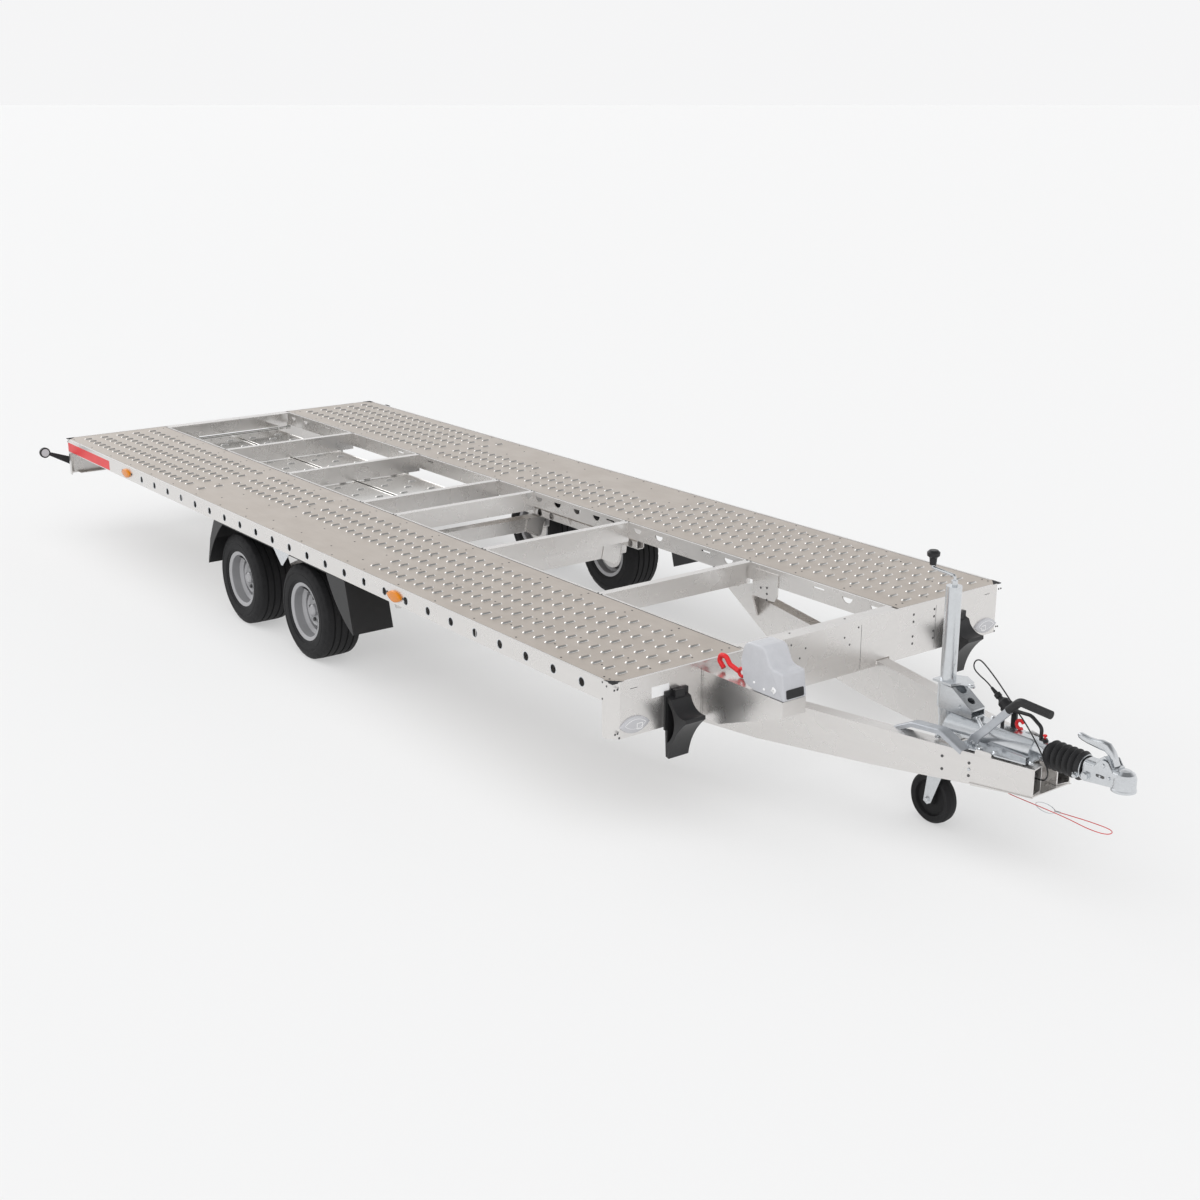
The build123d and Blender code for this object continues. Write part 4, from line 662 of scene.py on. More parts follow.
class TRAILER_OT_finishes(Operator):
    """Make the finishes and give one to each solid"""

    bl_idname = "trailer.finishes"
    bl_label = "Finishes"

    def execute(self, context):
        colours = context.scene.trailer_colours
        for name, colour, *looks in METALS:
            FINISHES[name] = metal_finish(name, getattr(colours, colour), *looks)
        for name, colour, share, *looks in MATTS:
            colour = shade(getattr(colours, colour), share)
            FINISHES[name] = matt_finish(name, colour, *looks)
        for name, colour in LENSES:
            FINISHES[name] = lens_finish(name, getattr(colours, colour))
        of_solid = {}
        for finish, solids in SOLID_FINISHES.items():
            of_solid.update(dict.fromkeys(solids.split(), finish))
        for name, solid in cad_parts.items():
            finish = FINISHES[of_solid.get(name, "zinc_sheet")]
            if not solid.material_slots:
                solid.data.materials.append(finish)
            for place in solid.material_slots:
                place.link = "OBJECT"
                place.material = finish
        return {"FINISHED"}


# --------------------------------------------------------- deck and ramps

# Columns of ovals across a plank, and the rows that are left out of them
OVAL_COLUMNS = (0.541, 0.645, 0.746, 0.846, 0.946)
SEAM_ROWS = (21, 32)
BARE_ROWS = range(23, 47)
OUTER_COLUMNS = (0.846, 0.946)

# Slopes of a pressed oval's flank, in degrees, from its foot to its crown
OVAL_SLOPES = (52, 44, 36, 28, 20, 12, 5)


def pressed_oval(bm, sizes, centre):
    """An oval pressed up out of a sheet: an arched top whose rims keep their width."""
    length, width, height = sizes.oval_length, sizes.oval_width, sizes.oval_height
    place = frame_at(centre, UP, LEFT)
    foot = math.radians(OVAL_SLOPES[0])
    rings = [[place @ Vector((x, y, -0.1 * height)) for x, y in stadium(length, width)]]
    for slope in OVAL_SLOPES:
        turn = math.radians(slope)
        less = width * (1 - math.sin(turn) / math.sin(foot))
        rise = height * (math.cos(turn) - math.cos(foot)) / (1 - math.cos(foot))
        ring = stadium(length - less, width - less)
        rings.append([place @ Vector((x, y, rise)) for x, y in ring])
    rows = skin_rings(bm, rings)
    # The crown keeps the plank's own sheet; the flanks take its near-white copy, a painted
    # highlight
    for corner in (*rows[-2], *rows[-1]):
        for face in corner.link_faces:
            face.material_index = 1


class TRAILER_OT_deck_tread(Operator):
    """Press the rows of tread ovals into both planks"""

    bl_idname = "trailer.deck_tread"
    bl_label = "Deck tread"

    def execute(self, context):
        sizes = context.scene.trailer_sizes
        first = PLANK_LOW.x + sizes.row_margin
        for hand, side in HANDS:
            bm = bmesh.new()
            for row in range(sizes.rows):
                for column in OVAL_COLUMNS:
                    bare = row in BARE_ROWS and column in OUTER_COLUMNS
                    if row not in SEAM_ROWS and not bare:
                        x = first + row * sizes.row_pitch
                        pressed_oval(bm, sizes, (x, side * column, PLANK_HIGH.z))
            piece = make_piece(f"deck_tread_{hand}", bm, "tread_oval", smooth=50)
            piece.data.materials.append(FINISHES["tread_sheet"])
        return {"FINISHED"}


# Plank screws: two lattices along the deck (first x, columns), and the odd ones (x, y)
SCREW_PITCH = 0.2955
EDGE_SCREWS = (1.963, (1.02, 0.453, 0.490))
FIELD_SCREWS = (1.8230, (0.826, 0.948))
LONE_SCREWS = (
    (1.963, 0.635), (1.963, 0.834), (1.931, 1.02), (0.183, 0.672), (0.03, 1.014),
    (-0.978, 0.678), (-0.924, 0.678),
)
PLANK_SCREW = (0.0042, 0.0012)

# Screws through the cross-members' ends into the inner rails, and all low screws' size
MEMBER_PLACES = (-2.522, -1.737, -0.909, -0.578, 0.227, 1.109)
MEMBER_SCREW_Y, MEMBER_SCREW_GAP = 0.417, 0.012
LOW_SCREW = (0.0045, 0.0014)

# Painted shade in the gaps round a plank, as dark strips: their width, depth and how far they
# lie below its top
SEAM_WIDTH, SEAM_DEPTH, SEAM_DROP = 0.0022, 0.0018, 0.002
OUTER_SEAM_Y, INNER_SEAM_Y, END_SEAM_Y, END_SEAM = 1.0368, 0.4252, 0.707, 0.555


class TRAILER_OT_plank_screws(Operator):
    """Set the dark screws in the planks and the ends of the cross-members"""

    bl_idname = "trailer.plank_screws"
    bl_label = "Plank screws"

    def execute(self, context):
        spots = list(LONE_SCREWS)
        for first, columns in (EDGE_SCREWS, FIELD_SCREWS):
            count = int((first - PLANK_LOW.x) / SCREW_PITCH) + 1
            spots += [(first - k * SCREW_PITCH, y) for k in range(count) for y in columns]
        screws, seams = meshes(2)
        for x, y in spots:
            for side in SIDES:
                rivet(screws, (x, side * y, PLANK_HIGH.z), UP, *PLANK_SCREW)
        for x in MEMBER_PLACES:
            for side in SIDES:
                for gap in (-MEMBER_SCREW_GAP, MEMBER_SCREW_GAP):
                    spot = (x + gap, side * MEMBER_SCREW_Y, INNER_TOP)
                    rivet(screws, spot, UP, *LOW_SCREW)
        make_piece("plank_screws", screws, "dark_steel")
        middle = (PLANK_LOW.x + PLANK_HIGH.x) / 2
        length = PLANK_HIGH.x - PLANK_LOW.x
        for side in SIDES:
            for x, y, run, wide in (
                (middle, OUTER_SEAM_Y, length - 0.11, SEAM_WIDTH),
                (middle, INNER_SEAM_Y, length, SEAM_WIDTH),
                (PLANK_LOW.x - 0.0008, END_SEAM_Y, SEAM_WIDTH, END_SEAM),
                (PLANK_HIGH.x + 0.0008, END_SEAM_Y, SEAM_WIDTH, END_SEAM),
            ):
                place = on_top(PLANK_HIGH.z - SEAM_DROP, x, side * y)
                slab(seams, place, rounded_box(run, wide, 0.0004), SEAM_DEPTH, 0.0002, 1)
        # Dark strips of painted shade in the plank seams
        make_piece("plank_seams", seams, "shadow_slot")
        return {"FINISHED"}


# Ovals of a ramp: pitch of the rows, their reach across, and the margins at its ends
RAMP_PITCH, RAMP_REACH, RAMP_FRONT, RAMP_REAR = 0.209, 0.088, 0.1305, 0.04
RAMP_RIVET = (0.0048, 0.0016)


class TRAILER_OT_ramp_tread(Operator):
    """Press the ovals into the stowed ramps and rivet their noses"""

    bl_idname = "trailer.ramp_tread"
    bl_label = "Ramp tread"

    def execute(self, context):
        sizes = context.scene.trailer_sizes
        for hand, _ in HANDS:
            low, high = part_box(f"ramp_{hand}")
            middle = (low.y + high.y) / 2
            tread, rivets = meshes(2)
            x = high.x - RAMP_FRONT
            while x > low.x + RAMP_REAR:
                back = x - RAMP_PITCH / 2
                for along, across in ((x, 0), (back, RAMP_REACH), (back, -RAMP_REACH)):
                    if along >= low.x + RAMP_REAR:
                        pressed_oval(tread, sizes, (along, middle + across, high.z))
                x -= RAMP_PITCH
            for y in (low.y + 0.006, high.y - 0.006):
                rod(tread, ((low.x + 0.004, y, high.z), (high.x - 0.004, y, high.z)), 0.003, 8)
            body = f"stowed_ramp_{hand}"
            make_piece(f"ramp_tread_{hand}", tread, "tread_oval", "zinc", smooth=50, body=body)
            for x in (low.x + 0.05, high.x - 0.03):
                for share in (0.1, 0.3, 0.5, 0.7, 0.9):
                    y = low.y + share * (high.y - low.y)
                    rivet(rivets, (x, y, high.z), UP, *RAMP_RIVET)
            make_piece(f"ramp_rivets_{hand}", rivets, "dark_steel", body=body)
        return {"FINISHED"}


# ------------------------------------------------------------------- wheels

# Section of a tyre's wall (inwards from its side, down from its tread), and its lining
TYRE_WALL = (
    (0.030, 0.100), (0.019, 0.099), (0.010, 0.090), (0.0045, 0.080), (0.0045, 0.0785),
    (0.0022, 0.0775), (0.0004, 0.066), (0, 0.058), (0.0002, 0.050), (0.0016, 0.0485),
    (0.0018, 0.040), (0.0002, 0.0385), (0.0014, 0.030), (0.0050, 0.021),
    (0.0080, 0.0160), (0.0105, 0.0110), (0.0135, 0.0060), (0.0180, 0.0028),
)
TYRE_LINING = ((0.050, 0.030), (0.040, 0.060), (0.030, 0.104))
GROOVES, GROOVE_HALF = (0.052, 0.018), 0.0045
TYRE_STEPS, NOTCH_DEPTH, NOTCH_EVERY = 150, 0.004, 6
SHOULDER = (14, 15, 16)


def tyre_profile(radius, half, depth):
    """Section of a tyre as (place across, radius) round the loop, and its shoulder points."""
    right = [(half - inwards, radius - down) for inwards, down in TYRE_WALL]
    for place in GROOVES:
        right += [
            (place + GROOVE_HALF, radius - 0.0008),
            (place + GROOVE_HALF * 0.8, radius - depth),
            (place - GROOVE_HALF * 0.8, radius - depth),
            (place - GROOVE_HALF, radius - 0.0004),
        ]
    left = [(-place, r) for place, r in reversed(right)]
    lining = [(half - inwards, radius - down) for inwards, down in TYRE_LINING]
    loop = right + left
    shoulder = {*SHOULDER, *(len(loop) - 1 - k for k in SHOULDER)}
    return loop + [(-place, r) for place, r in reversed(lining)] + lining, shoulder


class TRAILER_OT_tyres(Operator):
    """Mould the four tyres with grooves, shoulder notches and sidewall rings"""

    bl_idname = "trailer.tyres"
    bl_label = "Tyres"

    def execute(self, context):
        depth = context.scene.trailer_sizes.groove_depth
        for wheel in WHEELS:
            low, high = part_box(f"tyre_{wheel}")
            half, radius = (high.y - low.y) / 2, (high.z - low.z) / 2
            profile, shoulder = tyre_profile(radius, half, depth)

            def notch(index, i):
                return NOTCH_DEPTH if index in shoulder and i % NOTCH_EVERY == 0 else 0

            bm = bmesh.new()
            place = frame_at((low + high) / 2, LEFT)
            turned(bm, place, profile, TYRE_STEPS, True, notch)
            name, node = f"tyre_tread_{wheel}", f"tyre_{wheel}"
            make_piece(name, bm, "tyre_rubber", node=node, body=f"wheel_{wheel}")
        return {"FINISHED"}


# Wheel bolts: their number, circle, first angle, and how far the drum's face stands out
BOLT_COUNT, BOLT_CIRCLE, BOLT_START, DRUM_FACE = 5, 0.056, 0.6, 0.026

# A valve's stem as (height, radius)
VALVE_STEM = (
    (0, 0.0065), (0.006, 0.006), (0.010, 0.004), (0.028, 0.004), (0.029, 0.0048),
    (0.038, 0.0048), (0.040, 0.003),
)


class TRAILER_OT_wheel_fittings(Operator):
    """Bolt the wheels to their drums and fit the valves"""

    bl_idname = "trailer.wheel_fittings"
    bl_label = "Wheel fittings"

    def execute(self, context):
        for wheel in WHEELS:
            low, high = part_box(f"rim_{wheel}")
            x, y, z = (low + high) / 2
            side = 1 if "left" in wheel else -1
            bolts, valve = meshes(2)
            for k in range(BOLT_COUNT):
                turn = 2 * math.pi * k / BOLT_COUNT + BOLT_START
                across, up = BOLT_CIRCLE * math.cos(turn), BOLT_CIRCLE * math.sin(turn)
                spot = (x + across, y + side * DRUM_FACE, z + up)
                hex_bolt(bolts, spot, (0, side, 0), 0.015, 0.009, 1.3)
            body = f"wheel_{wheel}"
            make_piece(f"wheel_bolts_{wheel}", bolts, "dark_steel", body=body)
            start = (x - 0.062, y + side * 0.030, z + 0.082)
            turned(valve, frame_at(start, (-0.45, side * 0.8, 0.55)), VALVE_STEM, 14)
            make_piece(f"valve_{wheel}", valve, "black_rubber", body=body)
        return {"FINISHED"}


# ----------------------------------------------------------- rails and ends

# Lashing holes: the row, a hole's collar, and the sleeve behind it as (height, radius)
HOLE_FIRST, HOLE_PITCH, HOLE_COUNT, HOLE_HEIGHT = 1.835, 0.1775, 24, 0.558
HOLE_RADIUS, COLLAR_RADIUS, COLLAR_HEIGHT = 0.0165, 0.0205, 0.0018
SLEEVE = ((-0.003, 0.0166), (-0.022, 0.0166), (-0.022, 0.0176), (-0.003, 0.0176))

# Side markers: places along the rail, and the lens as (share of the outline, height)
MARKER_PLACES, MARKER_LENGTH, MARKER_WIDTH = (0.506, -2.4569), 0.118, 0.05
MARKER_LEVELS = ((1, -0.0005), (1, 0.006), (0.96, 0.0105), (0.86, 0.0128), (0.5, 0.014))
EAR_REACH = 0.066

# The plain red band, and the small triangular plate between the wheels (x, z)
BAND_LENGTH, BAND_HEIGHT, BAND_MIDDLE = 0.66, 0.054, 0.5535
GUSSET_PLACE = (-0.566, 0.522)
GUSSET = ((-0.085, 0), (0.085, 0), (0.006, -0.073), (-0.006, -0.073))


class TRAILER_OT_rail_fittings(Operator):
    """Swage the lashing eyes and fit the side markers and the red bands"""

    bl_idname = "trailer.rail_fittings"
    bl_label = "Side rail fittings"

    def execute(self, context):
        collars, lenses, ears, bands = meshes(4)
        for side in SIDES:
            face = side * RAIL_HIGH.y
            out = (0, side, 0)
            for k in range(HOLE_COUNT):
                place = on_side(side, face, HOLE_FIRST - k * HOLE_PITCH, HOLE_HEIGHT)
                dimple_ring(collars, place, HOLE_RADIUS, COLLAR_RADIUS, COLLAR_HEIGHT)
                turned(ears, frame_at(place.translation, out), SLEEVE, 24, joined=True)
            for x in MARKER_PLACES:
                place = on_side(side, face, x, HOLE_HEIGHT)
                crown(lenses, place, pointed_oval(MARKER_LENGTH, MARKER_WIDTH), MARKER_LEVELS)
                for end in SIDES:
                    rivet(ears, place @ Vector((end * EAR_REACH, 0.004, 0)), out, 0.006, 0.004)
            place = on_side(side, face, RAIL_LOW.x + BAND_LENGTH / 2 - 0.02, BAND_MIDDLE)
            slab(bands, place, rounded_box(BAND_LENGTH, BAND_HEIGHT, 0.002), 0.0005, 0.0001, 1)
            place = on_side(side, face - side * 0.006, *GUSSET_PLACE)
            slab(collars, place, GUSSET, 0.004, 0.0008, 1)
        make_piece("lashing_collars", collars, "bright_zinc")
        make_piece("side_marker_lenses", lenses, "lens_amber", node="side_markers")
        make_piece("marker_ears", ears, "dark_steel")
        make_piece("red_bands", bands, "red_paint")
        return {"FINISHED"}


# Rivets in the front panel (y, z), and those in the sides of the corner posts (x, z)
PANEL_RIVETS = (
    (1.041, 0.576), (1.027, 0.576), (1.037, 0.407), (1.026, 0.408), (1.018, 0.389),
    (0.183, 0.570), (0.106, 0.542), (0.136, 0.507),
)
PANEL_HOLES = tuple((y, z) for y in (0.502, 0.626) for z in (0.437, 0.468, 0.531, 0.562))
POST_RIVETS = ((1.960, 0.593), (1.984, 0.584), (1.960, 0.530))

# A front lamp: its centre (y, z), its lens as (share of the outline, height), and the
# bars of the square in its mark (u, v, length, width)
LAMP_CENTRE, LAMP_LENGTH, LAMP_WIDTH = (0.951, 0.428), 0.138, 0.064
LAMP_LEVELS = ((1, -0.0005), (1, 0.004), (0.96, 0.0075), (0.86, 0.0095), (0.5, 0.0105))
MARK_BARS = (
    (0, 0.0105, 0.027, 0.0024), (0, -0.0105, 0.027, 0.0024),
    (0.0123, 0, 0.0024, 0.022), (-0.0123, 0, 0.0024, 0.022),
)

# Thin dark lines on the panel (y, z, length, width, corner radius, depth)
PANEL_MIDDLE = (PANEL_LOW.z + PANEL_HIGH.z) / 2 - 0.007
PANEL_SEAMS = (
    (0.953, 0.5665, 0.032, 0.002, 0.001, 0.0005),
    (0.636, PANEL_MIDDLE, 0.0016, 0.185, 0.0006, 0.0004),
    (0.20, PANEL_MIDDLE, 0.0016, 0.185, 0.0006, 0.0004),
)

# The blank label's centre (y, z), length and width
LABEL_PLACE, LABEL_SIZE = (-0.83, 0.529), (0.082, 0.042)


class TRAILER_OT_panel_fittings(Operator):
    """Fit the lamps, the label, the rivets and the seams on the front panel"""

    bl_idname = "trailer.panel_fittings"
    bl_label = "Front panel fittings"

    def execute(self, context):
        face = PANEL_HIGH.x
        rivets, lamps, marks, seams, label = meshes(5)
        for side in SIDES:
            for y, z in PANEL_RIVETS:
                rivet(rivets, (face, side * y, z), FORWARDS, 0.0042, 0.0014)
            for x, z in POST_RIVETS:
                for end in (x, RAIL_LOW.x + RAIL_HIGH.x - x):
                    rivet(rivets, (end, side * POST_HIGH.y, z), (0, side, 0), 0.004, 0.0012)
            y, z = LAMP_CENTRE
            lens = pointed_oval(LAMP_LENGTH, LAMP_WIDTH)
            crown(lamps, on_front(face, side * y, z), lens, LAMP_LEVELS)
            eye = pointed_oval(0.094, 0.036)
            eye = [(face + 0.0098, side * y + u, z + 0.003 + v) for u, v in eye]
            rod(marks, eye + eye[:1], 0.0009, 6)
            square = on_front(face + 0.0092, side * (y - 0.018), z - 0.007)
            for u, v, long, wide in MARK_BARS:
                spot = square @ Vector((u, v, 0))
                plate(marks, spot, FORWARDS, LEFT, long, wide, 0.0022, 0.0008, 0.0003)
            for y, z, long, wide, radius, depth in PANEL_SEAMS:
                place = on_front(face, side * y, z)
                slab(seams, place, rounded_box(long, wide, radius), depth, 0.0001, 1)
        for y, z in PANEL_HOLES:
            rivet(rivets, (face, y, z), FORWARDS, 0.0055, 0.0012)
        plate(label, (face, *LABEL_PLACE), FORWARDS, LEFT, *LABEL_SIZE, 0.0006, 0.002, 0.0002)
        make_piece("panel_rivets", rivets, "dark_steel")
        make_piece("lamp_lenses", lamps, "lens_white", node="front_lamps")
        make_piece("lamp_marks", marks, "label_white", "lens_white")
        make_piece("panel_seams", seams, "dark_steel")
        make_piece("blank_label", label, "label_white", "zinc")
        return {"FINISHED"}


# A corner cap's legs, its thickness and ribs, and the reach of the plank's corner by it
CAP_LEG, CAP_DEPTH, CAP_RIBS, CORNER_REACH = 0.05, 0.0044, 5, 0.0672


class TRAILER_OT_corner_caps(Operator):
    """Close the deck's corners with small ribbed wedges"""

    bl_idname = "trailer.corner_caps"
    bl_label = "Corner caps"

    def execute(self, context):
        caps, fills = meshes(2)
        low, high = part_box("corner_caps")
        leg, reach = CAP_LEG, CORNER_REACH
        for x, inwards in ((high.x, -1), (low.x, 1)):
            for side in SIDES:
                place = frame_at((x, side * high.y, low.z), UP, (inwards, 0, 0))
                turn = (place.to_3x3().inverted() @ Vector((0, -side, 0))).y
                slab(caps, place, ((0, 0), (leg, 0), (0, leg * turn)), CAP_DEPTH, 0.0008, 2)
                for k in range(1, CAP_RIBS):
                    at = leg * k / CAP_RIBS
                    start = place @ Vector((at, 0.002 * turn, CAP_DEPTH))
                    end = place @ Vector((at, (leg - at - 0.003) * turn, CAP_DEPTH))
                    rod(caps, (start, end), 0.0016, 6)
                wide = ((leg, 0), (reach, 0), (0, reach * turn), (0, leg * turn))
                slab(fills, place, wide, PLANK_HIGH.z - low.z - 0.0003, 0.0002, 1)
        make_piece("ribbed_corner_caps", caps, "black_plastic", node="corner_caps")
        make_piece("plank_corners", fills, "tread_sheet")
        return {"FINISHED"}


# --------------------------------------------------------------------- winch

# Corners of the cover's side (x, z), each with the radius that rounds it
WINCH_CORNERS = (
    (2.4530, 0.5662, 0.009), (2.4400, 0.6680, 0.016), (2.3800, 0.6740, 0.034),
    (2.3460, 0.7415, 0.036), (2.2440, 0.7415, 0.045), (2.2222, 0.6600, 0.060),
    (2.2420, 0.5820, 0.040), (2.3000, 0.5662, 0.020),
)
COVER_EDGE = 0.0075

# The cover's screws (x, z, radius), of which the first has a cross on it
WINCH_SCREWS = ((2.402, 0.598, 0.010), (2.352, 0.588, 0.005), (2.300, 0.600, 0.005))

# The red hook's bend (x, z) with its radii, and its eye (x, z, radius)
WINCH_HOOK = (
    (2.074, 0.5780), (2.049, 0.6010), (2.056, 0.6250), (2.086, 0.6250), (2.108, 0.6000),
    (2.158, 0.5880),
)
WINCH_HOOK_RADII = (0, 0.012, 0.02, 0.02, 0.03, 0)
HOOK_THICK, EYE_THICK = 0.0096, 0.0062


class TRAILER_OT_winch_cover(Operator):
    """Mould the winch's cover with its soft edges, screws and window"""

    bl_idname = "trailer.winch_cover"
    bl_label = "Winch cover"

    def execute(self, context):
        cover, trim, hook, window = meshes(4)
        corners = [(x, z, 0) for x, z, _ in WINCH_CORNERS]
        outline = rounded_path(corners, [radius for _, _, radius in WINCH_CORNERS], 7)
        depth = WINCH_HIGH.y - WINCH_LOW.y
        slab(cover, on_side(-1, WINCH_HIGH.y), outline, depth, COVER_EDGE, 5)
        make_piece("winch_cover", cover, "grey_plastic", node="winch_housing", smooth=50)
        for x, z, radius in WINCH_SCREWS:
            rivet(trim, (x, WINCH_LOW.y, z), (0, -1, 0), radius, 0.003)
        place = on_side(-1, WINCH_LOW.y, *WINCH_SCREWS[0][:2])
        for turn in (0, math.pi / 2):
            bar = place @ Matrix.Rotation(turn + 0.2, 4, "Z")
            slab(trim, bar, rounded_box(0.026, 0.006, 0.003), 0.004, 0.001, 2)
        make_piece("winch_screws", trim, "label_white", "grey_plastic")
        middle = (WINCH_LOW.y + WINCH_HIGH.y) / 2
        rod(hook, bent(WINCH_HOOK, middle, WINCH_HOOK_RADII, 7), HOOK_THICK, 14)
        rod(hook, hoop(2.172, middle, 0.588, 0.015, 24, flat="y"), EYE_THICK)
        make_piece("red_winch_hook", hook, "red_paint", node="winch_hook", smooth=60)
        place = frame_at((2.4498, -0.576, 0.591), (0.992, 0, 0.126), LEFT)
        slab(window, place, rounded_box(0.084, 0.033, 0.006), 0.002, 0.0006, 2)
        make_piece("winch_window", window, "black_plastic")
        return {"FINISHED"}


# --------------------------------------------------------- drawbar and hitch

# Slant of the beams' outer faces, their rivets (x, z) and the bolts beside them (x, y)
BEAM_OUT = (0.224, 0.975)
BEAM_RIVETS = ((2.790, 0.367), (2.792, 0.319), (2.892, 0.368), (2.893, 0.321))
BEAM_BOLT = (2.893, 0.345)
HOUSING_BOLTS = ((2.914, 0.125), (2.966, 0.110), (3.100, 0.083), (2.740, 0.150))

# The tab folded over each beam, the lip under it (x, z), and the hangers' rivets (x, z)
TAB = ((-0.033, -0.004, 0), (0.033, -0.004, 0), (0.030, 0.020, 0), (-0.030, 0.022, 0))
TAB_RADII = (0.002, 0.002, 0.008, 0.008)
TAB_PLACE = (2.940, 0.404)
LIP = ((2.898, 0.2965), (3.0, 0.3), (3.130, 0.3045))
HANGER_RIVETS = ((1.245, 0.452), (1.245, 0.480), (1.245, 0.508), (1.205, 0.500))
TOP_RIVETS = (
    (1.971, -0.15, PANEL_HIGH.z), (1.971, 0.15, PANEL_HIGH.z), (1.088, 0.228, INNER_TOP),
)


def beam_face(x):
    """Distance of a beam's outer face from the middle of the trailer."""
    return 0.101 + 0.23 * (3.128 - x)


class TRAILER_OT_drawbar_fittings(Operator):
    """Fit the beams' rivets, tabs and bolts, and the brackets' rivets"""

    bl_idname = "trailer.drawbar_fittings"
    bl_label = "Drawbar fittings"

    def execute(self, context):
        dark, bright, tabs = meshes(3)
        for side in SIDES:
            out = (BEAM_OUT[0], side * BEAM_OUT[1], 0)
            for x, z in BEAM_RIVETS:
                rivet(dark, (x, side * (beam_face(x) + 0.0002), z), out, 0.0055, 0.003)
            x, z = BEAM_BOLT
            rivet(bright, (x, side * (beam_face(x) + 0.0002), z), out, 0.006, 0.004)
            for x, y in HOUSING_BOLTS:
                hex_bolt(bright, (x, side * y, HOUSING_FOOT + 0.004), UP, 0.015, 0.009)
            x, z = TAB_PLACE
            place = frame_at((x, side * (beam_face(x) - 0.004), z), out, FORWARDS)
            flip = 1 if (place.to_3x3() @ LEFT).z > 0 else -1
            tab = [(p.x, p.y * flip) for p in rounded_path(TAB, TAB_RADII)]
            slab(tabs, place, tab, 0.0045, 0.001, 2)
            lip = [(x, side * (beam_face(x) + 0.001), z) for x, z in LIP]
            swept(tabs, lip, UP, rounded_box(0.003, 0.010, 0.001))
            for x, z in HANGER_RIVETS:
                rivet(dark, (x, side * 0.4048, z), (0, -side, 0), 0.0055, 0.002)
        for spot in TOP_RIVETS:
            rivet(dark, spot, UP, *LOW_SCREW)
        make_piece("drawbar_rivets", dark, "dark_steel")
        make_piece("drawbar_tabs", tabs, "zinc_sheet")
        make_piece("drawbar_bolts", bright, "bright_zinc")
        return {"FINISHED"}


# The brake quadrant's arch and the lever's bend (x, z), each in its own plane at y
QUADRANT_ARCH = ((2.552, 0.405), (2.640, 0.449), (2.776, 0.462), (2.880, 0.418))
QUADRANT_Y, QUADRANT_WIDE, QUADRANT_HIGH, QUADRANT_SHEET = -0.161, 0.048, 0.018, 0.003
LEVER_BEND = ((2.846, 0.398), (2.872, 0.446), (2.926, 0.500), (3.010, 0.590))
LEVER_Y = -0.104


def pressed_channel(width, height, sheet):
    """Section of a sheet folded down at both sides with round shoulders."""
    half, gap = width / 2, width / 2 - sheet
    outer = ((half, -height), (half, 0), (-half, 0), (-half, -height))
    inner = ((-gap, -height), (-gap, -sheet), (gap, -sheet), (gap, -height))
    radii = (0, 0.009, 0.009, 0, 0, 0.005, 0.005, 0)
    path = rounded_path([(x, y, 0) for x, y in outer + inner], radii, 4)
    return [(p.x, p.y) for p in path]


class TRAILER_OT_brake_fittings(Operator):
    """Press the brake's quadrant and shape its lever"""

    bl_idname = "trailer.brake_fittings"
    bl_label = "Brake fittings"

    def execute(self, context):
        quadrant, lever, bolts = meshes(3)
        arch = bent(QUADRANT_ARCH, QUADRANT_Y, (0, 0.06, 0.06, 0), 8)
        section = pressed_channel(QUADRANT_WIDE, QUADRANT_HIGH, QUADRANT_SHEET)
        swept(quadrant, arch, (0, -1, 0), [(x, -y) for x, y in section])
        make_piece("pressed_quadrant", quadrant, "dull_zinc", node="brake_quadrant", smooth=45)
        bend = bent(LEVER_BEND, LEVER_Y, (0, 0.03, 0.03, 0), 6)
        count = len(bend) - 1
        widths = [(1, 1.25 - 0.4 * min(1, 1.6 * k / count)) for k in range(count + 1)]
        swept(lever, bend, LEFT, rounded_box(0.009, 0.033, 0.003), widths)
        make_piece("shaped_lever", lever, "dull_zinc", node="brake_lever", smooth=45)
        hex_bolt(bolts, (2.894, -0.112, 0.414), (0, -1, 0), 0.019, 0.012)
        hex_bolt(bolts, (2.864, -0.110, 0.424), (0, -1, 0), 0.013, 0.007)
        make_piece("brake_bolts", bolts, "bright_zinc")
        return {"FINISHED"}


# Turned sections as (height, radius): the button, its base, the bellows' cuff
BUTTON = ((0, 0.003), (0.007, 0.0035), (0.009, 0.007), (0.014, 0.0075), (0.016, 0.005))
BUTTON_BASE = ((0, 0.013), (0.006, 0.013), (0.009, 0.010), (0.012, 0.0095))
CUFF = ((0, 0.033), (0.002, 0.0365), (0.017, 0.0365), (0.019, 0.034))
BUTTON_X, BUTTON_Z, BASE_Z, CUFF_X = 3.084, 0.482, 0.471, 3.088

# The red hook's open ring (x, z), its radius and thickness
RELEASE_RING, RELEASE_RADIUS, RELEASE_THICK = (2.962, 0.492), 0.0155, 0.0062

# One fold of the bellows as (share of the pitch, radius), its pitch and the folds' number
FOLD = (
    (0, 0.0385), (0.22, 0.0440), (0.40, 0.0505), (0.5, 0.0518), (0.60, 0.0505), (0.78, 0.0440)
)
FOLD_PITCH, FOLDS = 0.0238, 6
FOLDED = FOLDS * FOLD_PITCH


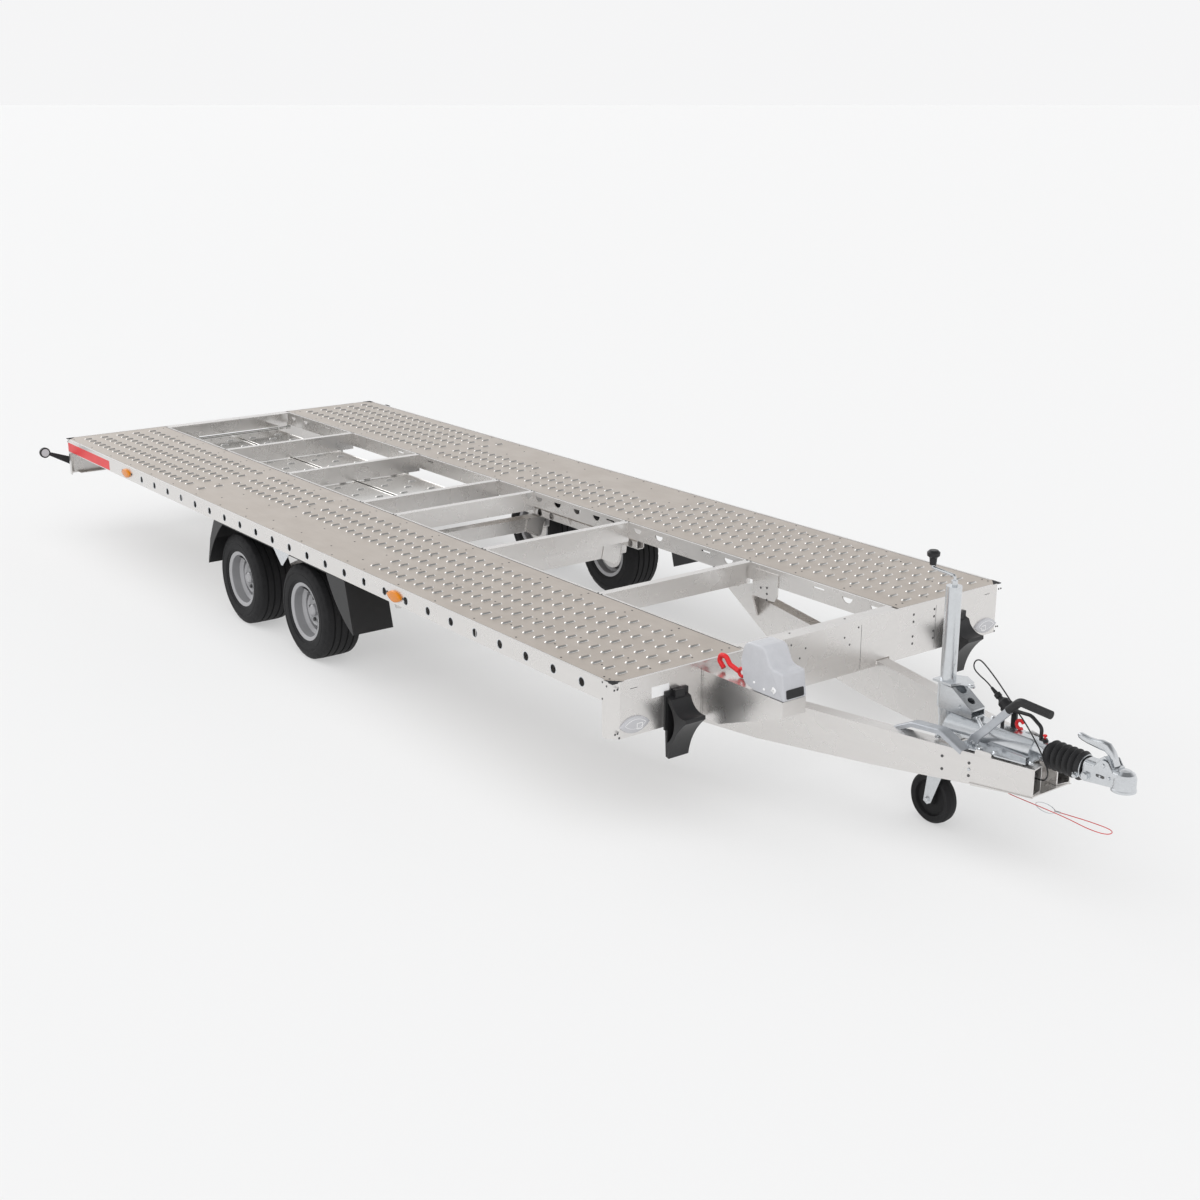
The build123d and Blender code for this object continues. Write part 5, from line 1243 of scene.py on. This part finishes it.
class TRAILER_OT_hitch_fittings(Operator):
    """Fit the release hook, the red button and the folded bellows"""

    bl_idname = "trailer.hitch_fittings"
    bl_label = "Hitch fittings"

    def execute(self, context):
        red, black, hook, collar, bellows = meshes(5)
        turned(red, frame_at((BUTTON_X, 0, BUTTON_Z), UP), BUTTON, 20)
        turned(black, frame_at((BUTTON_X, 0, BASE_Z), UP), BUTTON_BASE, 20)
        (x, z), radius = RELEASE_RING, RELEASE_RADIUS
        turns = [math.radians(degrees) for degrees in range(-55, -336, -20)]
        ring = [(x + radius * math.cos(a), 0.018, z + radius * math.sin(a)) for a in turns]
        rod(hook, ring, RELEASE_THICK)
        middle = (BELLOWS_LOW.z + BELLOWS_HIGH.z) / 2
        turned(collar, frame_at((CUFF_X, 0, middle), FORWARDS), CUFF, 36)
        profile = [(0, 0.036), (0.0005, 0.0400)]
        for k in range(FOLDS):
            profile += [((k + share) * FOLD_PITCH + 0.004, radius) for share, radius in FOLD]
        profile += [(FOLDED + 0.004, 0.0400), (FOLDED + 0.010, 0.0405), (FOLDED + 0.011, 0.034)]
        start = (BELLOWS_HIGH.x - FOLDED - 0.011, 0, middle)
        turned(bellows, frame_at(start, FORWARDS), profile, 56)
        end = BELLOWS_HIGH.x - 0.003
        rod(collar, hoop(end, 0, middle, 0.042, 36), 0.0022, 8)
        hex_bolt(collar, (end - 0.012, -0.040, 0.419), (0.1, -0.9, -0.3), 0.017, 0.014)
        make_piece("red_button", red, "red_paint")
        make_piece("button_base", black, "black_plastic")
        make_piece("red_hook", hook, "red_paint", node="release_hook")
        make_piece("bellows_clamps", collar, "bright_zinc")
        make_piece("folded_bellows", bellows, "black_rubber", node="bellows", smooth=50)
        return {"FINISHED"}


# The coupling handle from its hinge to its tip: (x, z, width share, height share)
HANDLE_PATH = (
    (3.374, 0.478, 1.1, 0.9), (3.366, 0.497, 1.1, 1.0), (3.354, 0.518, 1.1, 1.1),
    (3.336, 0.533, 1.05, 1.35), (3.312, 0.535, 1.0, 1.45), (3.288, 0.534, 0.95, 1.1),
    (3.262, 0.535, 0.95, 0.95), (3.240, 0.539, 0.95, 0.9), (3.226, 0.543, 0.85, 0.8),
    (3.219, 0.544, 0.5, 0.45),
)

# Corners of the coupling's cheek (x, z), each with the radius that rounds it
CHEEK = (
    (3.272, 0.402, 0.006), (3.392, 0.416, 0.012), (3.400, 0.446, 0.014),
    (3.362, 0.498, 0.010), (3.336, 0.498, 0.010), (3.310, 0.466, 0.012),
    (3.272, 0.462, 0.006),
)
CHEEK_INNER, CHEEK_OUTER = 0.0305, 0.0345


class TRAILER_OT_coupling_fittings(Operator):
    """Shape the coupling's handle and cheeks and fit their bolts"""

    bl_idname = "trailer.coupling_fittings"
    bl_label = "Coupling fittings"

    def execute(self, context):
        handle, bright, dark = meshes(3)
        path = [(x, 0, z) for x, z, _, _ in HANDLE_PATH]
        shares = [(wide, high) for _, _, wide, high in HANDLE_PATH]
        swept(handle, path, LEFT, rounded_box(0.026, 0.024, 0.009, 5), shares)
        corners = [(x, z, 0) for x, z, _ in CHEEK]
        cheek = rounded_path(corners, [radius for _, _, radius in CHEEK], 5)
        for side in SIDES:
            out, face = (0, side, 0), side * CHEEK_OUTER
            outline = [(-side * p.x, p.y) for p in cheek]
            slab(bright, on_side(side, side * CHEEK_INNER), outline, 0.0042, 0.0018, 3)
            hex_bolt(bright, (3.284, face, 0.424), out, 0.025, 0.012, 1.35)
            rivet(bright, (3.348, face, 0.480), out, 0.008, 0.005)
            rivet(bright, (3.374, face, 0.444), out, 0.007, 0.006)
            place = on_side(side, face, 3.340, 0.440)
            slab(dark, place, rounded_box(0.034, 0.010, 0.0049), 0.0012, 0.0003, 1)
            rivet(bright, (3.340, side * 0.0352, 0.440), out, 0.0042, 0.003)
        make_piece("shaped_handle", handle, "bright_zinc", node="coupling_handle", smooth=50)
        make_piece("coupling_cheeks", bright, "bright_zinc")
        make_piece("coupling_slots", dark, "dark_steel")
        return {"FINISHED"}


class TRAILER_OT_jack_fittings(Operator):
    """Fit the jack's clamp bolts and the bolts of its wheel's axle"""

    bl_idname = "trailer.jack_fittings"
    bl_label = "Jack fittings"

    def execute(self, context):
        clamp, axle = meshes(2)
        hex_bolt(clamp, (2.752, 0.0, 0.573), UP, 0.019, 0.011)
        low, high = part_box("jack_wheel")
        x, _, z = (low + high) / 2
        for side in SIDES:
            hex_bolt(clamp, (2.735, side * 0.0372, 0.500), (0, side, 0), 0.013, 0.007)
            hex_bolt(axle, (x, side * 0.0362, z), (0, side, 0), 0.017, 0.008)
        make_piece("jack_bolts", clamp, "bright_zinc")
        make_piece("jack_axle_bolts", axle, "bright_zinc", body="jack_caster")
        return {"FINISHED"}


# The blank number plate, and the lamps' sections (name, finish, share along a lamp, width)
PLATE_HEIGHT, PLATE_SIZE = 0.5525, (0.52, 0.084)
LAMP_START, LAMP_RUN, LAMP_MIDDLE = 0.705, 0.23, 0.49
LAMP_PARTS = (
    ("amber", "lens_amber", 0.86, 0.056),
    ("red", "lens_red", 0.5, 0.096),
    ("clear", "lens_white", 0.15, 0.05),
)


class TRAILER_OT_rear_fittings(Operator):
    """Fit the blank number plate and the lamps' sections at the back"""

    bl_idname = "trailer.rear_fittings"
    bl_label = "Rear fittings"

    def execute(self, context):
        bm = bmesh.new()
        spot, back = (POST_LOW.x, 0, PLATE_HEIGHT), (-1, 0, 0)
        plate(bm, spot, back, LEFT, *PLATE_SIZE, 0.002, 0.006)
        make_piece("number_plate", bm, "label_white", "zinc")
        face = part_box("tail_lamps")[0].x
        for name, finish, share, wide in LAMP_PARTS:
            bm = bmesh.new()
            for side in SIDES:
                y = side * (LAMP_START + share * LAMP_RUN)
                place = frame_at((face, y, LAMP_MIDDLE), back, LEFT)
                slab(bm, place, rounded_box(wide, 0.094, 0.008), 0.0012, 0.0006, 2)
            make_piece(f"lamp_{name}_parts", bm, finish)
        return {"FINISHED"}


# --------------------------------------------------------------------- stage

FLOOR_REACH = 600.0
FLOOR_PAPER = {
    "Base Color": (0.4, 0.4, 0.4, 1),
    "Emission Color": (1, 1, 1, 1),
    "Emission Strength": 0.445,
    "Roughness": 0.9,
    "Specular IOR Level": 0.1,
}
SUN_STRENGTH, SUN_SPREAD, SUN_AIM = 2.1, 80, (-0.35, 0.35, -1.0)
WALLS, CEILING = (0.915, 0.915, 0.92), (0.2, 0.205, 0.21)
WALL_HEIGHT, CEILING_HEIGHT = 0.36, 0.78
WINDOW_AIM, WINDOW_EDGE, WINDOW_STRENGTH = (-0.72, -0.15, 0.68), (0.84, 0.92), 3.2


def studio_world():
    """Bright walls low down, a darker ceiling, and one brighter window behind the deck."""
    world = Wiring(bpy.data.worlds.new("studio"), "Background", "Generated")
    height = world.add("ShaderNodeSeparateXYZ", {"Vector": world.places}).outputs["Z"]
    toward = world.add("ShaderNodeVectorMath", operation="DOT_PRODUCT")
    toward.inputs[1].default_value = Vector(WINDOW_AIM).normalized()
    world.tree.links.new(world.places, toward.inputs[0])
    window = world.span(
        toward.outputs["Value"], 1.0, WINDOW_STRENGTH, *WINDOW_EDGE, kind="SMOOTHSTEP"
    )
    walls = world.blend(height, WALLS, CEILING, WALL_HEIGHT, CEILING_HEIGHT)
    world.put(world.shader, {"Color": walls, "Strength": window})
    return world.owner


class TRAILER_OT_stage(Operator):
    """Lay the pale floor and set soft studio light round the trailer"""

    bl_idname = "trailer.stage"
    bl_label = "Stage"

    def execute(self, context):
        data = bpy.data.meshes.new("floor")
        ways = ((-1, -1), (1, -1), (1, 1), (-1, 1))
        corners = [(FLOOR_REACH * x, FLOOR_REACH * y, 0) for x, y in ways]
        data.from_pydata(corners, [], [(0, 1, 2, 3)])
        floor = bpy.data.objects.new("floor", data)
        paper = bpy.data.materials.new("floor_paper")
        paper.use_nodes = True
        inputs = paper.node_tree.nodes["Principled BSDF"].inputs
        for name, value in FLOOR_PAPER.items():
            inputs[name].default_value = value
        data.materials.append(paper)
        context.scene.collection.objects.link(floor)
        data = bpy.data.lights.new("ceiling", "SUN")
        data.energy = SUN_STRENGTH
        data.angle = math.radians(SUN_SPREAD)
        sun = bpy.data.objects.new("ceiling", data)
        sun.rotation_mode = "QUATERNION"
        sun.rotation_quaternion = Vector(SUN_AIM).to_track_quat("-Z", "Y")
        sun.visible_glossy = False
        context.scene.collection.objects.link(sun)
        context.scene.world = studio_world()
        context.scene.view_settings.view_transform = "Standard"
        return {"FINISHED"}


# ----------------------------------------------------------------- add-on

PIECES = (
    TRAILER_OT_finishes,
    TRAILER_OT_camera,
    TRAILER_OT_cords,
    TRAILER_OT_deck_tread,
    TRAILER_OT_plank_screws,
    TRAILER_OT_ramp_tread,
    TRAILER_OT_tyres,
    TRAILER_OT_wheel_fittings,
    TRAILER_OT_rail_fittings,
    TRAILER_OT_panel_fittings,
    TRAILER_OT_corner_caps,
    TRAILER_OT_winch_cover,
    TRAILER_OT_drawbar_fittings,
    TRAILER_OT_brake_fittings,
    TRAILER_OT_hitch_fittings,
    TRAILER_OT_coupling_fittings,
    TRAILER_OT_jack_fittings,
    TRAILER_OT_rear_fittings,
    TRAILER_OT_stage,
)


class TRAILER_PT_panel(Panel):
    """Lists the trailer's pieces, sizes and colours"""

    bl_label = "Car transporter trailer"
    bl_idname = "TRAILER_PT_panel"
    bl_space_type = "VIEW_3D"
    bl_region_type = "UI"
    bl_category = "Trailer"

    def draw(self, context):
        column = self.layout.column(align=True)
        for piece in PIECES:
            column.operator(piece.bl_idname)
        for group in (context.scene.trailer_sizes, context.scene.trailer_colours):
            box = self.layout.box()
            for name in group.__annotations__:
                box.prop(group, name)


CLASSES = (TrailerSizes, TrailerColours, *PIECES, TRAILER_PT_panel)


def register():
    for kind in CLASSES:
        bpy.utils.register_class(kind)
    bpy.types.Scene.trailer_sizes = PointerProperty(type=TrailerSizes)
    bpy.types.Scene.trailer_colours = PointerProperty(type=TrailerColours)


def unregister():
    del bpy.types.Scene.trailer_colours
    del bpy.types.Scene.trailer_sizes
    for kind in reversed(CLASSES):
        bpy.utils.unregister_class(kind)


def main():
    register()
    for piece in PIECES:
        section, name = piece.bl_idname.split(".")
        getattr(getattr(bpy.ops, section), name)()


if __name__ == "__main__":
    main()
